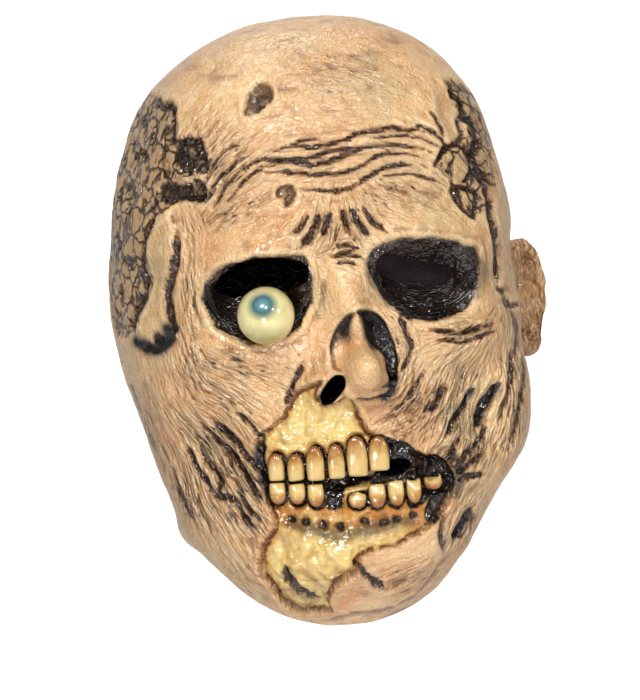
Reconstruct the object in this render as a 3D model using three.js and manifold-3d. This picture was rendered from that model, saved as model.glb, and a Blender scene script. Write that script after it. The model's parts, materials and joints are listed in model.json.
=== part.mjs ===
// A zombie mask for carnival: a hollow latex casting that is pulled over the whole head, with a
// glossy eyeball resting in one eye socket, black gauze behind the other eye hole, and teeth set
// into the bare jaws. Millimetres, +Z up. The face looks along -Y and +X is the wearer's left.
// The origin is the point inside the crown where the casting sits on the wearer's head.

import * as THREE from "three";
import { mergeVertices } from "three/addons/utils/BufferGeometryUtils.js";
import Module from "manifold-3d";

const wasm = await Module();
wasm.setup();

// Sizes of the casting
const MASK_HEIGHT = 275; // top of the crown to the lower edge under the chin
const SIDE_REACH = 93.5; // middle of the head to the side of the casting, at its widest
const FRONT_REACH = 94; // middle of the head to the forehead
const BACK_REACH = 109; // middle of the head to the back of the skull
const WALL = 2.5; // thickness of the latex
const GUM_THICKNESS = 5; // thickness of the latex behind the teeth

// Sizes of the sculpted features
const SOCKET_DEPTH = 15; // an eye socket's floor below the brow
const NOSE_REACH = 20; // the ball of the nose in front of the nasal opening
const EYE_HOLE_WIDTH = 40;
const EYE_HOLE_HEIGHT = 18;
const NOSTRIL_WIDTH = 8;
const NOSTRIL_HEIGHT = 15;
const NASAL_SLIT_WIDTH = 8;
const NASAL_SLIT_HEIGHT = 31;
const MOUTH_GAP_WIDTH = 16;
const MOUTH_GAP_HEIGHT = 7.5;
const EAR_HEIGHT = 56;
const EAR_WIDTH = 34;
const EAR_THICKNESS = 6;

// Sizes of the pieces that are set into the casting
const EYEBALL_DIAMETER = 25.4;
const EYEBALL_SINK = 1.2; // how deep the eyeball sits in the socket's floor
const TOOTH_WIDTH = 9.4; // of the largest incisor
const TOOTH_HEIGHT = 15; // of an upper incisor
const TOOTH_THICKNESS = 5.4;
const TOOTH_SPACING = 0.8; // between neighbours
const TOOTH_SINK = 2.2; // how deep a tooth sits in the gum
const BITE_GAP = 0.6; // between the upper and the lower teeth where they nearly meet
const GAUZE_THICKNESS = 1;
const GAUZE_MARGIN = 5; // by which the gauze reaches past its eye hole
const SEAT_GAP = 0.35; // clearance between a set piece and the latex

// Mesh columns round the head: finest at the nose, fine across the face, coarse round the back
const FACE_COLUMNS = 34;
const BACK_COLUMNS = 15;
const FACE_HALF_TURN = Math.PI / 3;
const NOSE_FINENESS = 0.6; // column spacing at the nose, share of the face's mean spacing

// Horizontal sections of the head from crown to rim. down: share of MASK_HEIGHT at the side.
// fore and aft: how much lower it runs at the front and back. side, front and back: shares of
// the three reaches. lean: sideways shift, share of SIDE_REACH. rings: mesh rings to the next.
const SECTIONS = [
  { down: 0, side: 0, front: 0, back: 0, lean: 0.053, rings: 1 },
  { down: 0.009, side: 0.246, front: 0.266, back: 0.275, lean: 0.053, rings: 1 },
  { down: 0.035, side: 0.465, front: 0.511, back: 0.514, lean: 0.051, rings: 1 },
  { down: 0.076, side: 0.652, front: 0.691, back: 0.697, lean: 0.034, rings: 2 },
  { down: 0.138, side: 0.807, front: 0.851, back: 0.844, lean: 0.021, rings: 2 },
  { down: 0.211, side: 0.893, front: 0.947, back: 0.936, lean: 0.016, rings: 2 },
  { down: 0.291, side: 0.952, front: 0.989, back: 0.986, lean: 0.01, rings: 3 },
  { down: 0.375, side: 0.984, front: 1.0, back: 1.0, lean: 0.009, rings: 5 },
  { down: 0.469, side: 1.0, front: 0.968, back: 0.982, lean: 0.011, rings: 6 },
  { down: 0.564, fore: 0.003, aft: -0.011, side: 0.979, front: 0.936, back: 0.927, lean: 0.027, rings: 6 },
  { down: 0.655, fore: 0.01, aft: -0.026, side: 0.952, front: 0.926, back: 0.844, lean: 0.075, rings: 5 },
  { down: 0.738, fore: 0.018, aft: -0.047, side: 0.893, front: 0.926, back: 0.771, lean: 0.077, rings: 4 },
  { down: 0.804, fore: 0.043, aft: -0.069, side: 0.791, front: 0.904, back: 0.716, lean: 0.032, rings: 2 },
  { down: 0.84, fore: 0.087, aft: -0.08, side: 0.743, front: 0.83, back: 0.679, lean: 0.003, rings: 1 },
  { down: 0.858, fore: 0.113, aft: -0.087, side: 0.711, front: 0.713, back: 0.661, lean: 0, rings: 1 },
  { down: 0.869, fore: 0.131, aft: -0.087, side: 0.674, front: 0.574, back: 0.651, lean: 0, rings: 0 },
];
const FRONT_SQUARENESS = 2.35; // exponent of the sections' front half; 2 is an ellipse
const BACK_SQUARENESS = 2.1;
const RIM_SWEEP = 2.3; // how late a section drops from the side to the front

// Bumps and dents of the face. across and wide: shares of SIDE_REACH. down and tall: shares of
// MASK_HEIGHT. turn: degrees anticlockwise as the face is seen. push: how far into the head, as a
// share of FRONT_REACH. edge: share of the radius over which it fades.
const EYE_PUSH = SOCKET_DEPTH / FRONT_REACH;
const NOSE_PUSH = -NOSE_REACH / FRONT_REACH;
const RELIEF = {
  socketRight: { across: -0.374, down: 0.466, wide: 0.28, tall: 0.077, turn: 4, push: EYE_PUSH, edge: 0.7 },
  socketLeft: { across: 0.422, down: 0.459, wide: 0.315, tall: 0.072, turn: -7, push: EYE_PUSH, edge: 0.7 },
  browRight: { across: -0.364, down: 0.375, wide: 0.37, tall: 0.042, turn: 3, push: -0.055, edge: 1 },
  browLeft: { across: 0.428, down: 0.37, wide: 0.39, tall: 0.04, turn: -6, push: -0.055, edge: 1 },
  frown: { across: 0.043, down: 0.385, wide: 0.11, tall: 0.058, turn: 0, push: 0.024, edge: 1 },
  noseBridge: { across: 0.032, down: 0.48, wide: 0.14, tall: 0.095, turn: 0, push: -0.085, edge: 0.95 },
  noseBase: { across: 0.086, down: 0.589, wide: 0.34, tall: 0.098, turn: 0, push: -0.064, edge: 0.9 },
  nasalOpening: { across: 0.102, down: 0.568, wide: 0.185, tall: 0.086, turn: -4, push: 0.138, edge: 0.75 },
  noseCartilage: { across: 0.086, down: 0.545, wide: 0.1, tall: 0.09, turn: 0, push: -0.13, edge: 0.95 },
  noseBall: { across: 0.086, down: 0.593, wide: 0.165, tall: 0.056, turn: 0, push: NOSE_PUSH, edge: 0.85 },
  noseWing: { across: -0.118, down: 0.608, wide: 0.15, tall: 0.046, turn: 30, push: -0.05, edge: 0.9 },
  cheekboneRight: { across: -0.556, down: 0.56, wide: 0.342, tall: 0.058, turn: -15, push: -0.055, edge: 1 },
  cheekboneLeft: { across: 0.62, down: 0.553, wide: 0.342, tall: 0.055, turn: 14, push: -0.055, edge: 1 },
  templeRight: { across: -0.856, down: 0.444, wide: 0.214, tall: 0.087, turn: 8, push: 0.045, edge: 0.8 },
  templeLeft: { across: 0.9, down: 0.444, wide: 0.193, tall: 0.087, turn: -8, push: 0.045, edge: 0.8 },
  cheekHollowRight: { across: -0.61, down: 0.684, wide: 0.235, tall: 0.109, turn: -22, push: 0.08, edge: 1 },
  cheekHollowLeft: { across: 0.663, down: 0.676, wide: 0.214, tall: 0.109, turn: 22, push: 0.08, edge: 1 },
  upperJaw: { across: -0.086, down: 0.705, wide: 0.428, tall: 0.095, turn: 0, push: -0.055, edge: 0.9 },
  upperGum: { across: -0.07, down: 0.71, wide: 0.33, tall: 0.08, turn: 0, push: 0.028, edge: 0.45 },
  bite: { across: 0, down: 0.757, wide: 0.47, tall: 0.018, turn: 0, push: 0.048, edge: 0.7 },
  mouthCorner: { across: 0.43, down: 0.754, wide: 0.14, tall: 0.047, turn: -16, push: 0.064, edge: 0.7 },
  lowerJaw: { across: -0.032, down: 0.814, wide: 0.45, tall: 0.054, turn: 0, push: -0.043, edge: 0.9 },
  lowerGum: { across: -0.02, down: 0.8, wide: 0.38, tall: 0.045, turn: 0, push: 0.028, edge: 0.45 },
  chin: { across: -0.086, down: 0.895, wide: 0.364, tall: 0.073, turn: 0, push: -0.075, edge: 0.95 },
  jowlLeft: { across: 0.342, down: 0.873, wide: 0.278, tall: 0.065, turn: 20, push: -0.032, edge: 0.8 },
  chinSlit: { across: -0.2, down: 0.93, wide: 0.14, tall: 0.012, turn: -42, push: 0.03, edge: 0.8 },
  scalpRotRight: { across: -0.8, down: 0.22, wide: 0.17, tall: 0.11, turn: -6, push: 0.027, edge: 0.5 },
  scalpCrackLeft: { across: 0.66, down: 0.19, wide: 0.1, tall: 0.055, turn: 18, push: 0.032, edge: 0.5 },
  woundHigh: { across: -0.293, down: 0.144, wide: 0.075, tall: 0.033, turn: 40, push: 0.024, edge: 0.6 },
  woundLow: { across: -0.209, down: 0.301, wide: 0.055, tall: 0.026, turn: 0, push: 0.022, edge: 0.6 },
};
const FACE_GATE = 0.3; // the relief fades out where the cosine of the turn falls below this
const SIDE_PUSH = { from: 0.55, to: 0.9, most: 0.6 }; // shares of SIDE_REACH where pushes turn sideways
const GUM = { across: 0, down: 0.764, wide: 0.55, tall: 0.095, turn: 0, edge: 0.5 }; // thicker latex

// Outlines of the openings, as shares of each opening's half width and half height.
const EYE_HOLE_RIGHT = [
  [-1.0, -0.26],
  [-0.52, 0.74],
  [0.11, 0.97],
  [0.94, 0.6],
  [1.0, -0.26],
  [0.6, -0.69],
  [-0.26, -1.02],
  [-0.76, -0.7],
];
const EYE_HOLE_LEFT = [
  [-0.93, 0.63],
  [-0.61, 0.99],
  [0.05, 0.46],
  [0.85, 0.02],
  [0.91, -0.49],
  [0.24, -0.97],
  [-0.54, -0.67],
  [-0.9, -0.02],
];
const NASAL_SLIT = [
  [-0.24, 1.0],
  [0.75, 0.26],
  [0.76, -0.52],
  [-0.04, -1.0],
  [-0.24, -0.54],
  [-0.1, 0.03],
  [-0.76, 0.61],
];
const OVAL_POINTS = 14;
const OVAL = Array.from({ length: OVAL_POINTS }, (_, i) => {
  const a = (2 * Math.PI * i) / OVAL_POINTS;
  return [Math.cos(a), Math.sin(a)];
});

// Openings cut through the face. across: share of SIDE_REACH. down: share of MASK_HEIGHT.
const HOLES = {
  eyeRight: {
    outline: EYE_HOLE_RIGHT,
    across: -0.353,
    down: 0.428,
    width: EYE_HOLE_WIDTH,
    height: EYE_HOLE_HEIGHT,
    turn: 0,
  },
  eyeLeft: {
    outline: EYE_HOLE_LEFT,
    across: 0.388,
    down: 0.436,
    width: EYE_HOLE_WIDTH,
    height: EYE_HOLE_HEIGHT,
    turn: 0,
  },
  nostril: {
    outline: OVAL,
    across: -0.065,
    down: 0.613,
    width: NOSTRIL_WIDTH,
    height: NOSTRIL_HEIGHT,
    turn: -35,
  },
  nasalSlit: {
    outline: NASAL_SLIT,
    across: 0.215,
    down: 0.573,
    width: NASAL_SLIT_WIDTH,
    height: NASAL_SLIT_HEIGHT,
    turn: 0,
  },
  mouthGap: {
    outline: OVAL,
    across: 0.211,
    down: 0.745,
    width: MOUTH_GAP_WIDTH,
    height: MOUTH_GAP_HEIGHT,
    turn: 8,
  },
};
const HOLE_SMOOTHING = 20; // points round a hole
const HOLE_REACH = { front: 1.5, back: 0.45 }; // shares of FRONT_REACH between which the holes are cut

// Teeth in order from the wearer's right. width: share of TOOTH_WIDTH. height: share of
// TOOTH_HEIGHT. skip: bare gum before it, share of TOOTH_WIDTH. lift: its biting edge from the bite
// line, share of TOOTH_HEIGHT. tilt: degrees, positive when its edge leans to the wearer's left.
const UPPER_TEETH = [
  { width: 0.78, height: 0.8, skip: 0, lift: 0.09, tilt: 0 },
  { width: 0.8, height: 0.78, skip: 0, lift: 0.05, tilt: 0 },
  { width: 0.86, height: 1.0, skip: 0, lift: 0.03, tilt: 3 },
  { width: 0.84, height: 1.0, skip: 0, lift: 0.03, tilt: 0 },
  { width: 1.0, height: 1.17, skip: 0.04, lift: 0.06, tilt: 5 },
  { width: 0.98, height: 1.0, skip: 0, lift: 0.18, tilt: 8 },
];
const LOWER_TEETH = [
  { width: 0.78, height: 0.63, skip: 0, lift: -0.07, tilt: 0 },
  { width: 0.8, height: 0.6, skip: 0, lift: 0, tilt: 0 },
  { width: 0.78, height: 0.66, skip: 0, lift: 0.06, tilt: -3 },
  { width: 0.88, height: 0.5, skip: 0.96, lift: 0.35, tilt: 0 },
  { width: 0.83, height: 0.7, skip: 0, lift: 0.2, tilt: 0 },
  { width: 0.8, height: 0.73, skip: 0, lift: 0.16, tilt: 2 },
  { width: 0.72, height: 0.73, skip: 0, lift: 0.13, tilt: 4 },
  { width: 0.9, height: 0.43, skip: 0.12, lift: 0.09, tilt: 0 },
];
const ROW_START = -0.385; // the rows' first edge, share of SIDE_REACH
const BITE_DOWN = 0.757; // the bite line, share of MASK_HEIGHT

// A tooth's rings from its biting edge to its root. along: share of its height. wide and thick:
// shares of its half width and half thickness.
const TOOTH_RINGS = [
  { along: 0, wide: 0.84, thick: 0.55 },
  { along: 0.14, wide: 0.98, thick: 0.8 },
  { along: 0.45, wide: 1.0, thick: 1.0 },
  { along: 0.76, wide: 0.78, thick: 0.92 },
  { along: 0.95, wide: 0.4, thick: 0.6 },
];
const TOOTH_SIDES = 8;
const TOOTH_BOXINESS = 0.8; // exponent on a ring's sines; 1 is an ellipse

// The ear's rings from its outer edge to the middle of its bowl, and then over its back to the
// middle again. out: share of its half size. proud: share of EAR_THICKNESS, towards the front.
const EAR_FRONT_RINGS = [
  { out: 1.0, proud: 0.1 },
  { out: 0.94, proud: 0.8 },
  { out: 0.8, proud: 0.75 },
  { out: 0.68, proud: 0.05 },
  { out: 0.54, proud: 0.3 },
  { out: 0.28, proud: -0.3 },
];
const EAR_BACK_RINGS = [
  { out: 0.92, proud: -0.4 },
  { out: 0.55, proud: -0.75 },
];
const EAR_SIDES = 18;
const EAR_BOWL = { front: -0.35, back: -0.85 }; // the bowl's middle, shares of EAR_THICKNESS
// The ear's middle as shares of the reaches and height, and its angles in degrees. splay: away from
// the head. lean: top towards the back. lobe: share by which it narrows below.
const EAR = { out: 1.08, back: 0.165, down: 0.498, splay: 42, lean: -6, lobe: 0.25 };

const EYEBALL_AT = { across: -0.345, down: 0.487 };
// Where a set piece may touch the face: shares of a tooth's width and height, or of the ball's radius
const TOOTH_CONTACT = { across: [-0.25, 0, 0.25], along: [0.4, 0.6, 0.8], facing: 0.6 };
const EYEBALL_CONTACT = { rings: [0.25, 0.5, 0.75, 0.95], sides: 12 };
const EYEBALL_SIDES = 16;
const EYEBALL_RINGS = 10;

const LAST = SECTIONS.length - 1;
const STEEPEST = 0.42; // cosine of the slope past which the wall's offset grows no more
const SLOPE_STEP = 0.01; // step in turn and place over which the plain form's slope is taken
const PAST_RIM = 4; // how far the hollow runs past the rim, in wall thicknesses
const HALVINGS = 24; // halvings that find a place on the face along one direction
const PLACE_ROUNDS = 8; // rounds in which the turn and the row of a place settle
const WELD = 1e-4; // corners closer than this are one

// Catmull-Rom value of one column of the sections table at t, counted in sections
function sectionValue(column, t) {
  const i = Math.min(Math.floor(t), LAST - 1);
  const f = t - i;
  const [a, b, c, d] = [i - 1, i, i + 1, i + 2].map((k) => SECTIONS[clamp(k, 0, LAST)][column] ?? 0);
  return b + 0.5 * f * (c - a + f * (2 * a - 5 * b + 4 * c - d + f * (3 * (b - c) + d - a)));
}

function clamp(value, low, high) {
  return Math.min(Math.max(value, low), high);
}

// Point of the plain head form. turn is 0 at the face and grows towards the wearer's left.
function headPoint(turn, t) {
  const c = Math.cos(turn);
  const s = Math.sin(turn);
  const facing = c > 0;
  const n = facing ? FRONT_SQUARENESS : BACK_SQUARENESS;
  const k = (Math.abs(c) ** n + Math.abs(s) ** n) ** (-1 / n);
  const reach = facing ? FRONT_REACH * sectionValue("front", t) : BACK_REACH * sectionValue("back", t);
  const drop = sectionValue(facing ? "fore" : "aft", t) * Math.abs(c * k) ** RIM_SWEEP;
  const x = SIDE_REACH * (sectionValue("lean", t) + sectionValue("side", t) * s * k);
  return new THREE.Vector3(x, -reach * c * k, WALL - MASK_HEIGHT * (sectionValue("down", t) + drop));
}

// 1 in the middle of a table row's oval, falling to 0 at its border
function ovalShare(row, x, z) {
  const dx = x - row.across * SIDE_REACH;
  const dz = z - WALL + row.down * MASK_HEIGHT;
  const a = THREE.MathUtils.degToRad(row.turn);
  const u = (dx * Math.cos(a) + dz * Math.sin(a)) / (row.wide * SIDE_REACH);
  const v = (dz * Math.cos(a) - dx * Math.sin(a)) / (row.tall * MASK_HEIGHT);
  return 1 - THREE.MathUtils.smoothstep(Math.hypot(u, v), 1 - row.edge, 1);
}

function faceShare(turn) {
  return THREE.MathUtils.smoothstep(Math.cos(turn), 0, FACE_GATE);
}

// Point of the sculpted outer surface
function skinPoint(turn, t) {
  const p = headPoint(turn, t);
  const gate = faceShare(turn);
  if (gate === 0) return p;
  const depths = Object.values(RELIEF).map((row) => row.push * FRONT_REACH * ovalShare(row, p.x, p.z));
  const depth = gate * depths.reduce((sum, d) => sum + d, 0);
  const sideways = THREE.MathUtils.smoothstep(Math.abs(p.x) / SIDE_REACH, SIDE_PUSH.from, SIDE_PUSH.to);
  const push = new THREE.Vector2(-Math.sign(p.x) * sideways, 1 - SIDE_PUSH.most * sideways).setLength(depth);
  p.x += push.x;
  p.y += push.y;
  return p;
}

// The value between low and high at which a rising function reaches the target
function solveRising(rising, target, low, high) {
  for (let i = 0; i < HALVINGS; i++) {
    const middle = (low + high) / 2;
    if (rising(middle) < target) low = middle;
    else high = middle;
  }
  return (low + high) / 2;
}

// Point of the sculpted face seen from the front at x and z
function facePoint(x, z) {
  let turn = 0;
  let t = LAST / 2;
  for (let i = 0; i < PLACE_ROUNDS; i++) {
    t = solveRising((v) => -headPoint(turn, v).z, -z, 1, LAST);
    turn = solveRising((v) => headPoint(v, t).x, x, -Math.PI / 2, Math.PI / 2);
  }
  return skinPoint(turn, t);
}

// Corner order that makes a closed solid face out
function facingOut(vertices, triangles) {
  const solidOf = (list) => {
    const triVerts = new Uint32Array(list.flat());
    return new wasm.Manifold(new wasm.Mesh({ numProp: 3, vertProperties: vertices, triVerts }));
  };
  const solid = solidOf(triangles);
  return solid.volume() > 0 ? solid : solidOf(triangles.map(([a, b, c]) => [a, c, b]));
}

function solidFromPoints(points, triangles) {
  return facingOut(new Float32Array(points.flatMap((p) => [p.x, p.y, p.z])), triangles);
}

function solidFromGeometry(geometry) {
  const bare = geometry.clone();
  bare.deleteAttribute("normal");
  bare.deleteAttribute("uv");
  const { attributes, index } = mergeVertices(bare, WELD);
  const corners = Array.from(index.array);
  const triangles = Array.from({ length: corners.length / 3 }, (_, i) => corners.slice(3 * i, 3 * i + 3));
  return facingOut(attributes.position.array, triangles);
}

// A closed solid from rings of equally many points, capped by a point at each end
function lathedSolid(start, rings, end) {
  const sides = rings[0].length;
  const points = [start, ...rings.flat(), end];
  const at = (ring, i) => 1 + ring * sides + (i % sides);
  const triangles = [];
  for (let i = 0; i < sides; i++) {
    triangles.push([0, at(0, i + 1), at(0, i)]);
    triangles.push([points.length - 1, at(rings.length - 1, i), at(rings.length - 1, i + 1)]);
    for (let r = 0; r < rings.length - 1; r++) {
      triangles.push([at(r, i), at(r, i + 1), at(r + 1, i + 1)]);
      triangles.push([at(r, i), at(r + 1, i + 1), at(r + 1, i)]);
    }
  }
  return solidFromPoints(points, triangles);
}

function meshFromSolid(name, solid, material) {
  const { vertProperties, triVerts } = solid.getMesh();
  const geometry = new THREE.BufferGeometry();
  geometry.setAttribute("position", new THREE.BufferAttribute(vertProperties, 3));
  geometry.setIndex(new THREE.BufferAttribute(triVerts, 1));
  geometry.computeVertexNormals();
  const mesh = new THREE.Mesh(geometry, material);
  mesh.name = name;
  return mesh;
}

// The grid of the casting. Each column is a turn and each row a place down the sections.
const faceTurns = Array.from({ length: FACE_COLUMNS }, (_, i) => {
  const share = (2 * i) / FACE_COLUMNS - 1;
  return FACE_HALF_TURN * (NOSE_FINENESS * share + (1 - NOSE_FINENESS) * share ** 3);
});
const backTurns = Array.from({ length: BACK_COLUMNS }, (_, i) => {
  return FACE_HALF_TURN + (i / BACK_COLUMNS) * 2 * (Math.PI - FACE_HALF_TURN);
});
const turns = [...faceTurns, ...backTurns];
const places = SECTIONS.flatMap(({ rings }, i) => Array.from({ length: rings }, (_, k) => i + k / rings));
places.push(LAST);
places.shift();
const skin = places.map((t) => turns.map((turn) => skinPoint(turn, t)));

// The direction into the head square to the plain form at each grid point
const inward = places.map((t) =>
  turns.map((turn) => {
    const along = headPoint(turn + SLOPE_STEP, t).sub(headPoint(turn - SLOPE_STEP, t));
    const down = headPoint(turn, Math.min(t + SLOPE_STEP, LAST)).sub(headPoint(turn, t - SLOPE_STEP));
    return along.cross(down).normalize();
  }),
);

// How far a layer goes inward for each millimetre of its thickness. It grows with the relief's slope.
const stretch = skin.map((ring, r) =>
  ring.map((_, i) => {
    const along = skin[r][(i + 1) % ring.length].clone().sub(skin[r].at(i - 1));
    const down = skin[Math.min(r + 1, skin.length - 1)][i].clone().sub(skin[Math.max(r - 1, 0)][i]);
    return 1 / clamp(along.cross(down).normalize().dot(inward[r][i]), STEEPEST, 1);
  }),
);

function layerPoint(r, i, depth) {
  return skin[r][i].clone().addScaledVector(inward[r][i], depth * stretch[r][i]);
}

function middleOf(points) {
  return points.reduce((sum, p) => sum.add(p), new THREE.Vector3()).divideScalar(points.length);
}

function skinSolid() {
  return lathedSolid(headPoint(0, 0), skin, middleOf(skin.at(-1)));
}

// The hollow for the head. It runs on past the rim, so that it opens the casting there.
function hollowSolid() {
  const rings = skin.map((ring, r) =>
    ring.map((p, i) => {
      const gum = (GUM_THICKNESS - WALL) * faceShare(turns[i]) * ovalShare(GUM, p.x, p.z);
      return layerPoint(r, i, WALL + gum);
    }),
  );
  const pastRim = rings.at(-1).map((p) => new THREE.Vector3(p.x, p.y, p.z - PAST_RIM * WALL));
  const crown = headPoint(0, 0).sub(new THREE.Vector3(0, 0, WALL));
  return lathedSolid(crown, [...rings, pastRim], middleOf(pastRim));
}

function holeCutter(hole) {
  const knots = hole.outline.map(([u, v]) => new THREE.Vector3((u * hole.width) / 2, (v * hole.height) / 2));
  const curve = new THREE.CatmullRomCurve3(knots, true);
  const shape = new THREE.Shape(curve.getPoints(HOLE_SMOOTHING).slice(0, -1));
  const depth = (HOLE_REACH.front - HOLE_REACH.back) * FRONT_REACH;
  const geometry = new THREE.ExtrudeGeometry(shape, { depth, bevelEnabled: false });
  geometry.rotateZ(THREE.MathUtils.degToRad(hole.turn));
  geometry.rotateX(Math.PI / 2);
  const z = WALL - hole.down * MASK_HEIGHT;
  geometry.translate(hole.across * SIDE_REACH, -HOLE_REACH.back * FRONT_REACH, z);
  return solidFromGeometry(geometry);
}

// How far back a piece that is pushed straight into the face comes to rest. bulge gives how far the
// piece reaches back at each offset from its middle.
function restingPlace(x, z, offsets, bulge) {
  return Math.min(...offsets.map(([dx, dz]) => facePoint(x + dx, z + dz).y - bulge(dx, dz)));
}

// A tooth from its biting edge at z = 0 up to its root, grown on all sides
function toothSolid(width, height, grow) {
  const boxy = (v) => Math.sign(v) * Math.abs(v) ** TOOTH_BOXINESS;
  const ring = ({ along, wide, thick }) =>
    Array.from({ length: TOOTH_SIDES }, (_, i) => {
      const a = (2 * Math.PI * (i + 0.5)) / TOOTH_SIDES;
      const x = boxy(Math.cos(a)) * ((wide * width) / 2 + grow);
      const y = boxy(Math.sin(a)) * ((thick * TOOTH_THICKNESS) / 2 + grow);
      return new THREE.Vector3(x, y, along * (height + 2 * grow) - grow);
    });
  const edge = new THREE.Vector3(0, 0, -grow);
  const root = new THREE.Vector3(0, 0, height + grow);
  return lathedSolid(edge, TOOTH_RINGS.map(ring), root);
}

// A row runs from the wearer's right to the left, each tooth a spacing past the one before
function toothRow(rowName, table, upwards) {
  let edge = ROW_START * SIDE_REACH;
  return table.map((tooth, i) => {
    const width = tooth.width * TOOTH_WIDTH;
    const height = tooth.height * TOOTH_HEIGHT;
    const x = edge + tooth.skip * TOOTH_WIDTH + width / 2;
    edge = x + width / 2 + TOOTH_SPACING;
    const lift = BITE_GAP / 2 + tooth.lift * TOOTH_HEIGHT;
    const z = WALL - BITE_DOWN * MASK_HEIGHT + upwards * lift;
    const rise = (share) => upwards * share * height;
    const offsets = TOOTH_CONTACT.along.flatMap((share) => {
      return TOOTH_CONTACT.across.map((side) => [side * width, rise(share)]);
    });
    const y = restingPlace(x, z, offsets, () => TOOTH_THICKNESS / 2) + TOOTH_SINK;
    const middle = z + rise(TOOTH_CONTACT.facing);
    const [right, left] = [-0.5, 0.5].map((side) => facePoint(x + side * width, middle));
    const facing = Math.atan2(left.y - right.y, left.x - right.x);
    const flip = upwards > 0 ? 0 : Math.PI;
    const place = new THREE.Matrix4()
      .makeTranslation(x, y, z)
      .multiply(new THREE.Matrix4().makeRotationZ(facing))
      .multiply(new THREE.Matrix4().makeRotationY(flip - THREE.MathUtils.degToRad(tooth.tilt)));
    const made = (grow) => toothSolid(width, height, grow).transform(place.elements);
    return { name: `tooth_${rowName}_${i + 1}`, solid: made(0), seat: made(SEAT_GAP) };
  });
}

function eyeballParts() {
  const x = EYEBALL_AT.across * SIDE_REACH;
  const z = WALL - EYEBALL_AT.down * MASK_HEIGHT;
  const radius = EYEBALL_DIAMETER / 2;
  const offsets = EYEBALL_CONTACT.rings.flatMap((share) =>
    Array.from({ length: EYEBALL_CONTACT.sides }, (_, i) => {
      const a = (2 * Math.PI * i) / EYEBALL_CONTACT.sides;
      return [share * radius * Math.cos(a), share * radius * Math.sin(a)];
    }),
  );
  const bulge = (dx, dz) => Math.sqrt(radius ** 2 - dx ** 2 - dz ** 2);
  const y = restingPlace(x, z, offsets, bulge) + EYEBALL_SINK;
  const ball = (r) => {
    return solidFromGeometry(new THREE.SphereGeometry(r, EYEBALL_SIDES, EYEBALL_RINGS).translate(x, y, z));
  };
  return { solid: ball(radius), seat: ball(radius + SEAT_GAP) };
}

// The ear stands out from the side of the head: a bowl inside a rolled rim, with a lobe below
function earSolid() {
  const ring = ({ out, proud }) =>
    Array.from({ length: EAR_SIDES }, (_, i) => {
      const a = (2 * Math.PI * i) / EAR_SIDES;
      const narrowing = 1 - EAR.lobe * Math.max(0, -Math.sin(a));
      const across = (out * narrowing * EAR_WIDTH * Math.cos(a)) / 2;
      return new THREE.Vector3(across, -proud * EAR_THICKNESS, (out * EAR_HEIGHT * Math.sin(a)) / 2);
    });
  const front = new THREE.Vector3(0, -EAR_BOWL.front * EAR_THICKNESS, 0);
  const back = new THREE.Vector3(0, -EAR_BOWL.back * EAR_THICKNESS, 0);
  const rings = [...EAR_FRONT_RINGS.map(ring).reverse(), ...EAR_BACK_RINGS.map(ring)];
  const place = new THREE.Matrix4()
    .makeTranslation(EAR.out * SIDE_REACH, EAR.back * BACK_REACH, WALL - EAR.down * MASK_HEIGHT)
    .multiply(new THREE.Matrix4().makeRotationZ(Math.PI / 2 - THREE.MathUtils.degToRad(EAR.splay)))
    .multiply(new THREE.Matrix4().makeRotationY(THREE.MathUtils.degToRad(EAR.lean)));
  return lathedSolid(front, rings, back).transform(place.elements);
}

// A patch of gauze behind the left eye hole. It lines the inside of the casting, a gap away.
function gauzeSolid() {
  const hole = HOLES.eyeLeft;
  const x = hole.across * SIDE_REACH;
  const z = WALL - hole.down * MASK_HEIGHT;
  const level = places.findIndex((t) => headPoint(0, t).z < z);
  const within = (value, middle, half) => Math.abs(value - middle) < half + GAUZE_MARGIN;
  const columns = [...turns.keys()].filter((i) => {
    return Math.cos(turns[i]) > 0 && within(skin[level][i].x, x, hole.width / 2);
  });
  const rows = [...places.keys()].filter((r) => within(skin[r][columns[0]].z, z, hole.height / 2));
  const layers = [WALL + SEAT_GAP, WALL + SEAT_GAP + GAUZE_THICKNESS];
  const points = layers.flatMap((depth) => rows.flatMap((r) => columns.map((i) => layerPoint(r, i, depth))));
  const at = (layer, r, i) => (layer * rows.length + r) * columns.length + i;
  const triangles = [];
  const quad = (a, b, c, d) => triangles.push([a, b, c], [a, c, d]);
  const lastRow = rows.length - 1;
  const lastColumn = columns.length - 1;
  for (let r = 0; r < lastRow; r++) {
    for (let i = 0; i < lastColumn; i++) {
      quad(at(0, r, i), at(0, r + 1, i), at(0, r + 1, i + 1), at(0, r, i + 1));
      quad(at(1, r, i), at(1, r, i + 1), at(1, r + 1, i + 1), at(1, r + 1, i));
    }
    quad(at(0, r, 0), at(1, r, 0), at(1, r + 1, 0), at(0, r + 1, 0));
    quad(at(0, r, lastColumn), at(0, r + 1, lastColumn), at(1, r + 1, lastColumn), at(1, r, lastColumn));
  }
  for (let i = 0; i < lastColumn; i++) {
    quad(at(0, 0, i), at(0, 0, i + 1), at(1, 0, i + 1), at(1, 0, i));
    quad(at(0, lastRow, i), at(1, lastRow, i), at(1, lastRow, i + 1), at(0, lastRow, i + 1));
  }
  return solidFromPoints(points, triangles);
}

const latex = new THREE.MeshStandardMaterial({ color: 0xd2a679, roughness: 0.45, metalness: 0 });
const enamel = new THREE.MeshStandardMaterial({ color: 0xdcc07a, roughness: 0.3, metalness: 0 });
const glaze = new THREE.MeshStandardMaterial({ color: 0xe3dca0, roughness: 0.12, metalness: 0 });
const net = new THREE.MeshStandardMaterial({ color: 0x17151a, roughness: 0.9, metalness: 0 });

const teeth = [...toothRow("upper", UPPER_TEETH, 1), ...toothRow("lower", LOWER_TEETH, -1)];
const eyeball = eyeballParts();

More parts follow.
